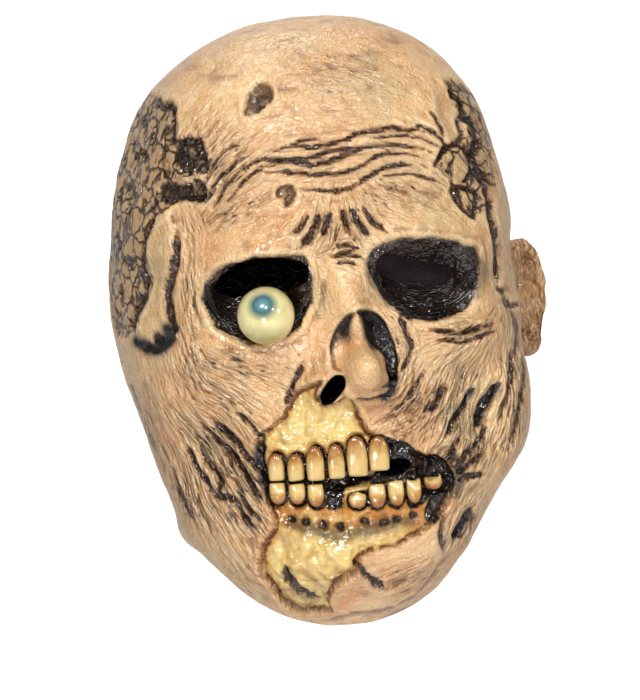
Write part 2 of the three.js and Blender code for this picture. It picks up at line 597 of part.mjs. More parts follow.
let casting = skinSolid().add(earSolid()).subtract(hollowSolid());
for (const hole of Object.values(HOLES)) casting = casting.subtract(holeCutter(hole));
for (const piece of [eyeball, ...teeth]) casting = casting.subtract(piece.seat);

const mask = new THREE.Group();
mask.add(meshFromSolid("latex_casting", casting, latex));
mask.add(meshFromSolid("eyeball", eyeball.solid, glaze));
mask.add(meshFromSolid("eye_gauze", gauzeSolid(), net));
for (const tooth of teeth) mask.add(meshFromSolid(tooth.name, tooth.solid, enamel));

export default mask;
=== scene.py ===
import json
import math
import bpy
import bmesh
import numpy as np
from mathutils import Matrix, Vector
from mathutils.bvhtree import BVHTree
from mathutils.kdtree import KDTree

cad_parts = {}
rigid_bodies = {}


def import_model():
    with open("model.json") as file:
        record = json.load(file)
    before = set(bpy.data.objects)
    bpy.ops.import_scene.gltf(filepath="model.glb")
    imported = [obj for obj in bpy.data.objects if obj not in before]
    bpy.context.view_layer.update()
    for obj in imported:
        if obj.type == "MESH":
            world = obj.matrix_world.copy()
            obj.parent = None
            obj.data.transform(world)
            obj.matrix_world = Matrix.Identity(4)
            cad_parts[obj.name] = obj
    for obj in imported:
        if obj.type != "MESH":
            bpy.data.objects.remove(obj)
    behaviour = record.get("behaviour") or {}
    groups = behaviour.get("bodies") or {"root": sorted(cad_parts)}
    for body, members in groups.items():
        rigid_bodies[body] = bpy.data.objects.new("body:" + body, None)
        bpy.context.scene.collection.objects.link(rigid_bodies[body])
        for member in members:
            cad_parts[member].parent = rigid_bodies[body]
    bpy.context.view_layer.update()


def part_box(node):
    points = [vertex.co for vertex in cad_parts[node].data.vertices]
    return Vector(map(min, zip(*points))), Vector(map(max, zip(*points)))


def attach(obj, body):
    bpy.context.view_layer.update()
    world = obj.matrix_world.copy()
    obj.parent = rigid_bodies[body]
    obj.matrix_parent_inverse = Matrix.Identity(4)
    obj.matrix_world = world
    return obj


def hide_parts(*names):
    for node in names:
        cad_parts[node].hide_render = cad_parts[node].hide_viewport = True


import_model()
print("solids loaded")

mm = 0.001

# How the picture sees the mask: millimetres in the part's frame against pixels
picture = {
    "width": 640, "height": 700, "azimuth": -7.5, "elevation": 1.5, "roll": 4.5,
    "distance": 1700.0, "pixelsPerMm": 2.2,
    "target": (0.0, -20.0, -147.5), "targetPixel": (321.0, 344.0), "sensor": 36.0,
}


def cameraAxes():
    az = math.radians(picture["azimuth"])
    el = math.radians(picture["elevation"])
    roll = math.radians(picture["roll"])
    back = np.array([math.sin(az) * math.cos(el), -math.cos(az) * math.cos(el), math.sin(el)])
    right = np.array([math.cos(az), math.sin(az), 0.0])
    up = np.cross(back, right)
    across = right * math.cos(roll) - up * math.sin(roll)
    above = right * math.sin(roll) + up * math.cos(roll)
    return back, across, above


camBack, camAcross, camAbove = cameraAxes()


def toPixel(points):
    offset = points - np.array(picture["target"])
    depth = picture["distance"] - offset @ camBack
    scale = picture["pixelsPerMm"] * picture["distance"] / depth
    u = picture["targetPixel"][0] + scale * (offset @ camAcross)
    v = picture["targetPixel"][1] - scale * (offset @ camAbove)
    return u, v


# Small helpers for fields over the surface
def smooth(x, low, high):
    t = np.clip((x - low) / (high - low), 0, 1)
    return t * t * (3 - 2 * t)


def latticeValue(ix, iy, iz, seed):
    mixed = (ix * 374761393 + iy * 668265263 + iz * 1442695041 + seed * 974634777) & 0xFFFFFFFF
    mixed = ((mixed ^ (mixed >> 13)) * 1274126177) & 0xFFFFFFFF
    return ((mixed ^ (mixed >> 16)) & 0xFFFF) / 32767.5 - 1.0


def noise(x, y, z, seed):
    fx, fy, fz = np.floor(x), np.floor(y), np.floor(z)
    ix, iy, iz = fx.astype(np.int64), fy.astype(np.int64), fz.astype(np.int64)
    tx, ty, tz = x - fx, y - fy, z - fz
    tx, ty, tz = [t * t * t * (t * (t * 6 - 15) + 10) for t in (tx, ty, tz)]
    total = np.zeros_like(x)
    for a in (0, 1):
        for b in (0, 1):
            for c in (0, 1):
                share = (tx if a else 1 - tx) * (ty if b else 1 - ty) * (tz if c else 1 - tz)
                total += share * latticeValue(ix + a, iy + b, iz + c, seed)
    return total


def cloud(x, y, z, seed, octaves=3):
    total, size, sumSize = np.zeros_like(x), 1.0, 0.0
    for i in range(octaves):
        total += size * noise(x * 2 ** i, y * 2 ** i, z * 2 ** i, seed + 17 * i)
        sumSize += size
        size *= 0.5
    return total / sumSize * 1.6


def rounded(points, closed=True, steps=6):
    pts = np.array(points, float)
    n = len(pts)
    out = []
    for i in range(n if closed else n - 1):
        if closed:
            p0, p1, p2, p3 = pts[i - 1], pts[i], pts[(i + 1) % n], pts[(i + 2) % n]
        else:
            p0, p1, p2, p3 = pts[max(i - 1, 0)], pts[i], pts[i + 1], pts[min(i + 2, n - 1)]
        for s in range(steps):
            t = s / steps
            out.append(0.5 * (2 * p1 + (p2 - p0) * t + (2 * p0 - 5 * p1 + 4 * p2 - p3) * t * t
                              + (3 * p1 - p0 - 3 * p2 + p3) * t ** 3))
    if not closed:
        out.append(pts[-1])
    return np.array(out)


def lineDistance(u, v, line, closed=False):
    best = np.full(u.shape, 1e9)
    along = np.zeros(u.shape)
    count = len(line) if closed else len(line) - 1
    for i in range(count):
        a, b = line[i], line[(i + 1) % len(line)]
        du, dv = b - a
        length = max(du * du + dv * dv, 1e-9)
        t = np.clip(((u - a[0]) * du + (v - a[1]) * dv) / length, 0, 1)
        d = np.hypot(u - a[0] - t * du, v - a[1] - t * dv)
        closer = d < best
        best = np.where(closer, d, best)
        along = np.where(closer, (i + t) / count, along)
    return best, along


def insideLine(u, v, line):
    inside = np.zeros(u.shape, bool)
    n = len(line)
    for i in range(n):
        (x1, y1), (x2, y2) = line[i], line[(i + 1) % n]
        if y1 == y2:
            continue
        crosses = (y1 > v) != (y2 > v)
        inside ^= crosses & (u < (x2 - x1) * (v - y1) / (y2 - y1) + x1)
    return inside


def signedDistance(u, v, line, reach=60.0):
    near = (u > line[:, 0].min() - reach) & (u < line[:, 0].max() + reach)
    near &= (v > line[:, 1].min() - reach) & (v < line[:, 1].max() + reach)
    result = np.full(u.shape, reach)
    if near.any():
        d, _ = lineDistance(u[near], v[near], line, closed=True)
        result[near] = np.where(insideLine(u[near], v[near], line), -d, d)
    return result


# The form of the casting, with the same sections and dents as the solid
form = {
    "height": 275.0, "sideReach": 93.5, "frontReach": 94.0, "backReach": 109.0,
    "wall": 2.5, "frontSquareness": 2.35, "backSquareness": 2.1, "rimSweep": 2.3,
    "faceGate": 0.3, "socketPush": 15 / 94, "nosePush": -20 / 94,
}

# down, fore, aft, side, front, back, lean
sections = np.array([
    (0.0, 0, 0, 0, 0, 0, 0.053), (0.009, 0, 0, 0.246, 0.266, 0.275, 0.053),
    (0.035, 0, 0, 0.465, 0.511, 0.514, 0.051), (0.076, 0, 0, 0.652, 0.691, 0.697, 0.034),
    (0.138, 0, 0, 0.807, 0.851, 0.844, 0.021), (0.211, 0, 0, 0.893, 0.947, 0.936, 0.016),
    (0.291, 0, 0, 0.952, 0.989, 0.986, 0.010), (0.375, 0, 0, 0.984, 1.0, 1.0, 0.009),
    (0.469, 0, 0, 1.0, 0.968, 0.982, 0.011), (0.564, 0.003, -0.011, 0.979, 0.936, 0.927, 0.027),
    (0.655, 0.010, -0.026, 0.952, 0.926, 0.844, 0.075), (0.738, 0.018, -0.047, 0.893, 0.926, 0.771, 0.077),
    (0.804, 0.043, -0.069, 0.791, 0.904, 0.716, 0.032), (0.84, 0.087, -0.080, 0.743, 0.83, 0.679, 0.003),
    (0.858, 0.113, -0.087, 0.711, 0.713, 0.661, 0.0), (0.869, 0.131, -0.087, 0.674, 0.574, 0.651, 0.0),
])

rowsPerSection = [8, 8, 8, 9, 12, 17, 22, 26, 27, 26, 24, 21, 13, 7, 7]

# across, down, wide, tall, turn, push, edge
relief = {
    "socketRight": (-0.374, 0.466, 0.28, 0.077, 4, form["socketPush"], 0.7),
    "socketLeft": (0.422, 0.459, 0.315, 0.072, -7, form["socketPush"], 0.7),
    "browRight": (-0.364, 0.375, 0.37, 0.042, 3, -0.055, 1),
    "browLeft": (0.428, 0.37, 0.39, 0.04, -6, -0.055, 1),
    "frown": (0.043, 0.385, 0.11, 0.058, 0, 0.024, 1),
    "noseBridge": (0.032, 0.48, 0.14, 0.095, 0, -0.085, 0.95),
    "noseBase": (0.086, 0.589, 0.34, 0.098, 0, -0.064, 0.9),
    "nasalOpening": (0.102, 0.568, 0.185, 0.086, -4, 0.138, 0.75),
    "noseCartilage": (0.086, 0.545, 0.1, 0.09, 0, -0.13, 0.95),
    "noseBall": (0.086, 0.593, 0.165, 0.056, 0, form["nosePush"], 0.85),
    "noseWing": (-0.118, 0.608, 0.15, 0.046, 30, -0.05, 0.9),
    "cheekboneRight": (-0.556, 0.56, 0.342, 0.058, -15, -0.055, 1),
    "cheekboneLeft": (0.62, 0.553, 0.342, 0.055, 14, -0.055, 1),
    "templeRight": (-0.856, 0.444, 0.214, 0.087, 8, 0.045, 0.8),
    "templeLeft": (0.9, 0.444, 0.193, 0.087, -8, 0.045, 0.8),
    "cheekHollowRight": (-0.61, 0.684, 0.235, 0.109, -22, 0.08, 1),
    "cheekHollowLeft": (0.663, 0.676, 0.214, 0.109, 22, 0.08, 1),
    "upperJaw": (-0.086, 0.705, 0.428, 0.095, 0, -0.055, 0.9),
    "upperGum": (-0.07, 0.71, 0.33, 0.08, 0, 0.028, 0.45),
    "bite": (0, 0.757, 0.47, 0.018, 0, 0.048, 0.7),
    "mouthCorner": (0.43, 0.754, 0.14, 0.047, -16, 0.064, 0.7),
    "lowerJaw": (-0.032, 0.814, 0.45, 0.054, 0, -0.043, 0.9),
    "lowerGum": (-0.02, 0.8, 0.38, 0.045, 0, 0.028, 0.45),
    "chin": (-0.086, 0.895, 0.364, 0.073, 0, -0.075, 0.95),
    "jowlLeft": (0.342, 0.873, 0.278, 0.065, 20, -0.032, 0.8),
    "chinSlit": (-0.2, 0.93, 0.14, 0.012, -42, 0.03, 0.8),
    "scalpRotRight": (-0.8, 0.22, 0.17, 0.11, -6, 0.027, 0.5),
    "scalpCrackLeft": (0.66, 0.19, 0.1, 0.055, 18, 0.032, 0.5),
    "woundHigh": (-0.293, 0.144, 0.075, 0.033, 40, 0.024, 0.6),
    "woundLow": (-0.209, 0.301, 0.055, 0.026, 0, 0.022, 0.6),
}


def sectionAt(t):
    n = len(sections)
    i = np.clip(np.floor(t).astype(int), 0, n - 2)
    f = (t - i)[:, None]
    p0, p1 = sections[np.maximum(i - 1, 0)], sections[i]
    p2, p3 = sections[i + 1], sections[np.minimum(i + 2, n - 1)]
    value = 0.5 * (2 * p1 + (p2 - p0) * f + (2 * p0 - 5 * p1 + 4 * p2 - p3) * f ** 2
                   + (3 * p1 - p0 - 3 * p2 + p3) * f ** 3)
    value[t <= 0] = sections[0]
    return value.T


def plainForm(turn, t):
    down, fore, aft, side, front, back, lean = sectionAt(t)
    c, s = np.cos(turn), np.sin(turn)
    n = np.where(c > 0, form["frontSquareness"], form["backSquareness"])
    k = (np.abs(c) ** n + np.abs(s) ** n) ** (-1 / n)
    reach = np.where(c > 0, form["frontReach"] * front, form["backReach"] * back)
    drop = np.where(c > 0, fore, aft) * np.abs(c * k) ** form["rimSweep"]
    x = form["sideReach"] * (lean + side * s * k)
    y = -reach * c * k
    z = form["wall"] - form["height"] * (down + drop)
    return np.stack([x, y, z], 1)


def withRelief(p, turn):
    x, z = p[:, 0], p[:, 2]
    depth = np.zeros(len(p))
    for across, down, wide, tall, angle, push, edge in relief.values():
        a = math.radians(angle)
        dx = x - across * form["sideReach"]
        dz = z - form["wall"] + down * form["height"]
        u = (dx * math.cos(a) + dz * math.sin(a)) / (wide * form["sideReach"])
        v = (dz * math.cos(a) - dx * math.sin(a)) / (tall * form["height"])
        depth += push * form["frontReach"] * (1 - smooth(np.hypot(u, v), 1 - edge, 1))
    depth *= smooth(np.cos(turn), 0, form["faceGate"])
    sideways = smooth(np.abs(x) / form["sideReach"], 0.55, 0.9)
    way = np.stack([-np.sign(x) * sideways, 1 - 0.6 * sideways], 1)
    way /= np.linalg.norm(way, axis=1)[:, None]
    out = p.copy()
    out[:, :2] += way * depth[:, None]
    return out


# Grid over the whole outside: fine on the face, coarse behind
def columnTurns():
    def spread(count, low, high):
        return np.linspace(low, high, count, endpoint=False)
    back, side, face = math.pi, math.radians(100), math.radians(62)
    right = np.concatenate([spread(30, -back, -side), spread(38, -side, -face)])
    left = np.concatenate([spread(38, face, side), spread(30, side, back)])
    return np.concatenate([right, spread(200, -face, face), left])


def rowPlaces():
    places = []
    for i, count in enumerate(rowsPerSection):
        places += [i + j / count for j in range(count)]
    return np.array(places[1:] + [len(rowsPerSection) * 1.0])


turns, places = columnTurns(), rowPlaces()
columnCount, rowCount = len(turns), len(places)
gridTurn = np.tile(turns, rowCount)
gridPlace = np.repeat(places, columnCount)
basePoints = withRelief(plainForm(gridTurn, gridPlace), gridTurn)


def gridNormals(points):
    g = points.reshape(rowCount, columnCount, 3)
    along = np.roll(g, -1, 1) - np.roll(g, 1, 1)
    down = np.gradient(g, axis=0)
    n = np.cross(down, along).reshape(-1, 3)
    n /= np.maximum(np.linalg.norm(n, axis=1), 1e-9)[:, None]
    outward = points - np.array([0, 0, -140.0])
    if np.sum(n * outward) < 0:
        n = -n
    return n


baseNormals = gridNormals(basePoints)
u, v = toPixel(basePoints)
facing = baseNormals @ camBack
px, py, pz = basePoints.T
print("form laid out:", rowCount, "rows by", columnCount, "columns")

# Openings in the face: across and down to the centre, half width and half height in mm
openings = {
    "eyeRight": {"at": (-0.353, 0.428), "half": (20, 9), "outline": [
        (-1, -.26), (-.52, .74), (.11, .97), (.94, .6), (1, -.26), (.6, -.69), (-.26, -1.02), (-.76, -.7)]},
    "eyeLeft": {"at": (0.388, 0.436), "half": (20, 9), "outline": [
        (-.93, .63), (-.61, .99), (.05, .46), (.85, .02), (.91, -.49), (.24, -.97), (-.54, -.67),
        (-.9, -.02)]},
    "nostril": {"at": (-0.065, 0.613), "half": (4, 7.5), "turn": -35},
    "nasalSlit": {"at": (0.215, 0.573), "half": (4, 15.5), "outline": [
        (-.24, 1), (.75, .26), (.76, -.52), (-.04, -1), (-.24, -.54), (-.1, .03), (-.76, .61)]},
    "mouthGap": {"at": (0.211, 0.745), "half": (8, 3.75), "turn": 8},
}


def openingLine(o):
    if "outline" in o:
        line = rounded(o["outline"])
    else:
        a = np.linspace(0, 2 * math.pi, 32, endpoint=False)
        line = np.stack([np.cos(a), np.sin(a)], 1)
    line = line * np.array(o["half"])
    a = math.radians(o.get("turn", 0))
    line = line @ np.array([[math.cos(a), math.sin(a)], [-math.sin(a), math.cos(a)]])
    centre = (o["at"][0] * form["sideReach"], form["wall"] - o["at"][1] * form["height"])
    return line + np.array(centre)


# Where skin, bone, gore and rot meet, in picture pixels
patches = {
    "bone": [
        (322, 382), (306, 388), (295, 393), (286, 413), (273, 425), (260, 436), (256, 451), (261, 473),
        (266, 486), (268, 504), (274, 523), (270, 534), (262, 546), (260, 562), (263, 576), (273, 589),
        (283, 604), (300, 612), (329, 611), (330, 598), (335, 588), (347, 577), (355, 573), (360, 557),
        (374, 550), (397, 545), (417, 536), (432, 524), (446, 506), (452, 488), (452, 474), (440, 458),
        (420, 455), (402, 444), (388, 444), (376, 437), (366, 428), (356, 408), (349, 396), (338, 402),
        (322, 404), (314, 396)],
    "gore": [
        (380, 440), (402, 441), (421, 453), (442, 456), (454, 473), (452, 486), (444, 509), (434, 523),
        (426, 516), (430, 500), (420, 508), (408, 506), (404, 484), (346, 486), (345, 508), (324, 508),
        (323, 486), (268, 485), (265, 479), (345, 477), (370, 476), (382, 470), (392, 462)],
    "socketRight": [
        (203, 298), (211, 278), (230, 264), (257, 258), (284, 256), (304, 256), (311, 271), (313, 295),
        (307, 314), (297, 330), (277, 340), (254, 344), (234, 339), (214, 327), (205, 312)],
    "socketLeft": [
        (367, 263), (368, 253), (382, 243), (407, 239), (445, 241), (473, 246), (479, 263), (476, 287),
        (470, 304), (458, 316), (431, 322), (407, 319), (389, 302), (372, 281)],
    "nose": [
        (350, 316), (362, 309), (372, 312), (383, 325), (391, 343), (397, 362), (395, 379), (388, 387),
        (372, 392), (356, 391), (346, 383), (341, 374), (332, 368), (332, 351), (338, 333)],
    "flap": [
        (333, 588), (347, 577), (356, 572), (361, 557), (374, 551), (397, 545), (417, 536), (434, 524),
        (446, 540), (430, 580), (395, 606), (350, 613), (331, 612)],
    "templeFlap": [
        (166, 208), (174, 222), (178, 241), (176, 270), (169, 296), (172, 315), (175, 328), (161, 349),
        (138, 339), (130, 318), (146, 296), (140, 262), (146, 236)],
    "scalpRot": [
        (150, 95), (158, 98), (172, 106), (173, 120), (174, 140), (204, 142), (205, 172), (180, 182),
        (203, 188), (200, 202), (167, 208), (145, 243), (153, 278), (150, 296), (144, 313), (133, 334),
        (100, 326), (80, 250), (100, 150)],
    "spotHigh": [(252, 86), (262, 82), (271, 88), (272, 99), (263, 110), (250, 116), (243, 114), (247, 96)],
    "spotLow": [(279, 188), (288, 184), (296, 187), (297, 197), (291, 207), (284, 209), (284, 199),
        (278, 196)],
    "squareHigh": [(174, 144), (190, 139), (199, 142), (205, 165), (190, 176), (174, 164)],
    "squareLow": [(160, 186), (176, 184), (201, 184), (202, 200), (176, 199), (162, 203)],
    "scalpCrack": [
        (446, 78), (462, 84), (474, 92), (476, 104), (489, 112), (492, 132), (492, 160), (498, 190),
        (488, 206), (478, 216), (462, 208), (450, 192), (452, 178), (441, 170), (436, 158), (452, 144),
        (470, 128), (458, 112), (450, 96)],
}

# Grooves, in picture pixels: width in pixels, depth in mm, darkness, then the line
grooves = {
    "brow1": (1.9, 0.7, 0.8, [(289, 148), (300, 146), (312, 147), (330, 145), (345, 140), (360, 133),
        (385, 130), (410, 130), (436, 135)]),
    "brow2": (2.0, 0.8, 0.75, [(243, 174), (252, 164), (266, 159), (285, 161), (305, 160), (328, 153),
        (350, 149), (372, 147)]),
    "brow3": (2.0, 0.8, 0.8, [(268, 166), (290, 163), (310, 166), (335, 160), (352, 151), (375, 146),
        (405, 146), (432, 153)]),
    "brow4": (1.8, 0.7, 0.75, [(262, 174), (285, 172), (310, 175), (345, 173), (360, 168), (374, 159),
        (395, 154), (425, 156)]),
    "brow5": (1.8, 0.7, 0.7, [(300, 189), (325, 191), (350, 188), (366, 180), (380, 171), (400, 165),
        (428, 168)]),
    "brow6": (1.4, 0.5, 0.5, [(270, 152), (285, 148), (305, 140), (325, 138)]),
    "brow7": (1.4, 0.5, 0.5, [(370, 138), (395, 136), (420, 139), (442, 148)]),
    "brow8": (1.4, 0.5, 0.5, [(380, 178), (400, 174), (420, 176), (440, 184)]),
    "fan1": (1.7, 0.6, 0.6, [(205, 205), (213, 190), (225, 172), (240, 158)]),
    "fan2": (1.6, 0.6, 0.5, [(214, 208), (222, 192), (236, 174), (250, 164)]),
    "fan3": (1.5, 0.5, 0.5, [(226, 206), (236, 190), (252, 174), (270, 166)]),
    "fan4": (1.5, 0.5, 0.5, [(205, 186), (212, 170), (226, 152), (244, 142)]),
    "frown1": (3.0, 1.1, 0.8, [(321, 212), (316, 224), (309, 236), (301, 246)]),
    "frown2": (2.6, 1.0, 0.8, [(330, 212), (327, 226), (322, 238)]),
    "frown3": (2.2, 0.9, 0.7, [(344, 210), (345, 222), (349, 236)]),
    "frown4": (2.4, 0.9, 0.7, [(352, 208), (358, 222), (368, 238)]),
    "frown5": (2.2, 0.8, 0.6, [(362, 206), (372, 220), (386, 232)]),
    "frown6": (2.0, 0.7, 0.5, [(308, 214), (302, 224), (292, 234)]),
    "bridge1": (1.8, 0.6, 0.6, [(334, 248), (344, 246), (360, 249)]),
    "bridge2": (1.8, 0.6, 0.6, [(332, 256), (346, 254), (362, 258)]),
    "bridge3": (1.6, 0.5, 0.5, [(334, 264), (346, 262), (358, 266)]),
    "temple1": (2.2, 1.2, 1.0, [(444, 79), (452, 84), (454, 94), (461, 100), (463, 112), (458, 122),
        (462, 134), (456, 143), (446, 148), (439, 156), (436, 166)]),
    "temple2": (2.4, 1.2, 1.0, [(436, 164), (446, 150), (458, 145), (470, 151), (474, 162), (470, 176),
        (462, 182)]),
    "temple3": (3.4, 1.4, 1.0, [(464, 108), (472, 120), (476, 132), (478, 146), (474, 160), (480, 172),
        (488, 180), (496, 184)]),
    "temple4": (2.0, 1.0, 0.9, [(453, 192), (458, 188), (470, 189), (478, 196), (477, 207), (474, 216),
        (464, 210), (457, 200), (453, 192)]),
    "temple5": (2.6, 1.4, 0.7, [(482, 176), (488, 191), (490, 210), (494, 232), (496, 250), (497, 270),
        (497, 288)]),
    "temple6": (1.6, 0.6, 0.6, [(404, 122), (425, 128), (440, 136), (446, 148)]),
    "temple7": (1.6, 0.6, 0.5, [(430, 110), (438, 124), (444, 136)]),
    "flapSlit": (2.6, 1.5, 1.0, [(177, 232), (178, 248), (175, 270), (169, 292), (170, 312), (175, 330)]),
    "flapRim": (2.6, 1.2, 1.0, [(166, 208), (154, 222), (146, 240), (143, 262), (148, 284), (142, 306),
        (134, 322), (140, 338)]),
    "rotRim": (2.4, 1.2, 1.0, [(150, 96), (158, 98), (160, 106), (172, 106), (173, 122), (172, 140),
        (186, 142), (198, 140), (204, 158), (205, 172), (190, 176)]),
    "rotRim2": (2.2, 1.1, 0.9, [(190, 178), (204, 188), (202, 200), (184, 199), (168, 206)]),
    "archRim": (2.0, 1.2, 0.5, [(497, 284), (503, 298), (512, 304), (524, 301)]),
    "archFold": (2.0, 1.0, 0.4, [(500, 300), (512, 312), (516, 330), (514, 350), (508, 372)]),
    "sideFold": (2.4, 1.2, 0.5, [(521, 345), (525, 372), (522, 400), (516, 426), (508, 450)]),
    "sideFold2": (2.2, 0.9, 0.5, [(508, 352), (512, 376), (506, 400), (498, 424)]),
    "cheekCut1": (3.4, 1.2, 0.9, [(498, 384), (490, 398), (482, 412), (474, 430)]),
    "cheekCut2": (2.4, 0.9, 0.7, [(470, 392), (462, 408), (452, 424), (446, 438)]),
    "cheekCut3": (2.4, 0.9, 0.7, [(446, 386), (438, 398), (430, 412)]),
    "cheekCut4": (2.0, 0.8, 0.6, [(424, 372), (416, 384), (408, 398)]),
    "mouthFold1": (2.4, 0.9, 0.8, [(455, 468), (466, 456), (478, 440), (488, 420)]),
    "mouthFold2": (2.2, 0.8, 0.8, [(456, 474), (468, 464), (484, 452)]),
    "mouthFold3": (2.2, 0.8, 0.8, [(456, 480), (470, 476), (484, 474)]),
    "mouthFold4": (2.2, 0.8, 0.7, [(448, 462), (452, 450), (460, 436)]),
    "jawFold": (4.0, 1.2, 0.8, [(472, 508), (464, 524), (456, 542)]),
    "jawFold2": (2.4, 0.8, 0.6, [(446, 512), (440, 530), (442, 552)]),
    "cheekLong": (1.7, 0.8, 0.6, [(172, 466), (178, 486), (186, 504), (194, 520)]),
    "cheekZig1": (2.4, 0.9, 0.8, [(196, 440), (208, 462), (220, 480), (217, 496), (232, 500),
        (246, 518), (262, 536)]),
    "cheekZig2": (2.6, 0.9, 0.8, [(202, 424), (222, 444), (240, 466), (254, 488), (262, 506)]),
    "cheekZig3": (2.6, 0.9, 0.8, [(212, 420), (232, 438), (250, 458), (260, 474)]),
    "cheekZig4": (2.2, 0.8, 0.7, [(186, 446), (200, 472), (214, 496)]),
    "cheekZig5": (2.2, 0.8, 0.7, [(238, 492), (250, 508), (262, 524)]),
    "cheekZig6": (2.0, 0.7, 0.7, [(236, 412), (252, 426), (262, 438)]),
    "lipFold": (2.4, 0.9, 0.8, [(302, 362), (296, 376), (290, 392), (286, 408)]),
    "noseSide": (2.2, 0.8, 0.7, [(398, 310), (404, 328), (410, 344), (406, 362), (398, 376)]),
    "noseSide2": (2.0, 0.8, 0.7, [(398, 386), (386, 394), (370, 398), (354, 396)]),
    "underEye1": (2.0, 0.7, 0.6, [(430, 330), (452, 334), (472, 330), (494, 322)]),
    "underEye2": (2.0, 0.7, 0.6, [(436, 340), (458, 342), (480, 336), (498, 330)]),
    "chinFlap": (2.6, 1.2, 0.9, [(354, 556), (362, 572), (372, 578), (384, 588)]),
    "chinSlit": (3.6, 1.8, 1.0, [(281, 566), (286, 578), (295, 590), (308, 598), (324, 602)]),
    "pitCrack": (1.2, 0.8, 0.5, [(130, 380), (136, 400), (146, 425), (157, 455)]),
}

# Dark pits: x, y, radius in pixels, depth in mm; the dark in cheekHollow and flapHollow is painted shade in those
# hollows
pits = {
    "root1": (291, 518, 5, 1.5), "root2": (305, 521, 5.5, 1.6), "root3": (323, 524, 6.5, 2.0),
    "root4": (341, 526, 6, 1.8), "root5": (365, 521, 5, 1.6), "root6": (385, 521, 6, 1.6),
    "root7": (398, 519, 5, 1.4), "root8": (415, 514, 5, 1.4), "cheekHollow": (486, 404, 11, 2.0),
    "flapHollow": (157, 338, 8, 2.2), "archSpot": (503, 290, 5, 1.6), "rotPit1": (142, 156, 6, 1.4),
    "rotPit2": (126, 186, 7, 1.4), "rotPit3": (128, 262, 8, 1.6), "rotPit4": (140, 300, 7, 1.5),
    "crackPit": (466, 118, 7, 1.5), "clotPit1": (331, 492, 4, 1.2), "clotPit2": (339, 500, 4, 1.2),
}

# Soft black shading: width in pixels, strength, line
shading = {
    "eyeUpper": (5.0, 0.8, [(372, 258), (386, 247), (410, 242), (440, 244), (470, 250)]),
    "eyeOuter": (5.0, 0.6, [(476, 258), (480, 272), (474, 296)]),
    "eyeInner": (4.0, 0.5, [(366, 262), (372, 282), (388, 304)]),
    "brownLid": (4.0, 0.5, [(205, 300), (212, 279), (232, 265), (262, 259), (300, 257)]),
    "flapUnder": (7.0, 0.9, [(140, 342), (152, 350), (164, 344), (172, 330)]),
    "mouthEnd": (6.0, 0.7, [(452, 458), (460, 474), (454, 492)]),
    "slitEnd": (4.5, 0.9, [(391, 366), (393, 378), (391, 390), (384, 397)]),
    "rootStain": (7.0, 0.6, [(290, 524), (322, 532), (342, 536), (384, 526), (412, 520)]),
}

# Deep hollows, dented and painted dark with shade: width in pixels, depth in mm, line
hollows = {
    "noseRimThin": (2.8, 2.6, [(352, 313), (344, 322), (338, 332), (334, 343), (332, 354)]),
    "noseRimWide": (5.6, 3.4, [(362, 313), (373, 320), (382, 332), (388, 348), (391, 364), (391, 384)]),
    "nostrilRim": (4.0, 2.0, [(342, 378), (334, 385), (325, 395), (317, 402)]),
    "mouthEndDeep": (5.2, 2.6, [(262, 440), (258, 456), (263, 474), (268, 490), (272, 506)]),
    "cheekCutDeep": (4.6, 2.4, [(500, 384), (492, 396), (484, 408), (478, 424)]),
    "cheekCutDeep2": (3.0, 1.8, [(474, 388), (464, 404), (454, 420)]),
    "flapUnder": (5.0, 2.4, [(140, 342), (152, 349), (164, 343), (172, 331)]),
    "jawFoldDeep": (4.0, 1.8, [(470, 512), (462, 526), (456, 540)]),
}

# Smooth lumps that stand out: x, y, half width, half height in pixels, height in mm
domes = {"noseBall": (364, 370, 27, 22, 3.6), "boneHigh": (312, 418, 40, 18, 1.0)}

# How the fine streaks of the skin run: picture x, y, degrees clockwise from the right, stretch
streakWays = {
    "cheekRight": [
        (213, 423, 28, 5), (230, 447, 40, 5), (180, 463, 55, 5), (190, 513, 60, 5), (230, 513, 45, 5),
        (247, 527, 45, 5), (263, 400, 32, 4)],
    "underSocketRight": [
        (217, 367, 18, 5), (257, 380, 20, 5), (280, 370, 25, 4), (300, 373, 70, 4), (183, 380, 90, 2),
        (217, 407, 33, 4)],
    "jawSideRight": [(165, 420, 60, 3), (150, 450, 70, 3)],
    "underSocketLeft": [(400, 330, 60, 4), (440, 337, -12, 5), (483, 327, -25, 5)],
    "cheekLeft": [
        (417, 377, -60, 4.5), (450, 393, -65, 4.5), (490, 400, -60, 4), (397, 423, -25, 2.5),
        (430, 447, -60, 3.5), (457, 457, -50, 4), (463, 477, -8, 5), (463, 523, -65, 4)],
    "chin": [
        (413, 567, -15, 4), (380, 580, -12, 3), (363, 593, 10, 3), (407, 597, -10, 3), (240, 590, 35, 3),
        (230, 560, 50, 3)],
    "brow": [
        (215, 180, -50, 5), (245, 165, -35, 5), (300, 160, -5, 5), (350, 150, -12, 5), (400, 148, 5, 5),
        (430, 155, 15, 5)],
    "browLow": [
        (233, 210, -30, 3), (243, 223, -15, 3), (183, 223, 60, 3), (400, 210, 12, 3), (417, 197, 10, 3),
        (440, 225, 20, 3)],
    "frown": [
        (313, 230, -60, 5), (330, 225, -75, 5), (345, 225, 90, 5), (360, 222, 65, 5), (378, 222, 45, 5),
        (347, 257, 0, 4)],
    "bridge": [(317, 287, 82, 4), (325, 310, 80, 3), (190, 287, 95, 3), (380, 307, 45, 4),
        (483, 287, 100, 3)],
    "crown": [(340, 60, 20, 1.3), (250, 100, -20, 1.5), (420, 90, 30, 1.5), (200, 130, -45, 2)],
    "sideLeft": [(520, 400, 85, 4), (510, 340, 80, 3)],
    "forehead": [(300, 110, 5, 1.6), (380, 110, -5, 1.6)],
    "mouth": [(340, 590, 20, 2), (330, 440, 85, 2.5)],
}
wayRows = np.array([row for area in streakWays.values() for row in area])
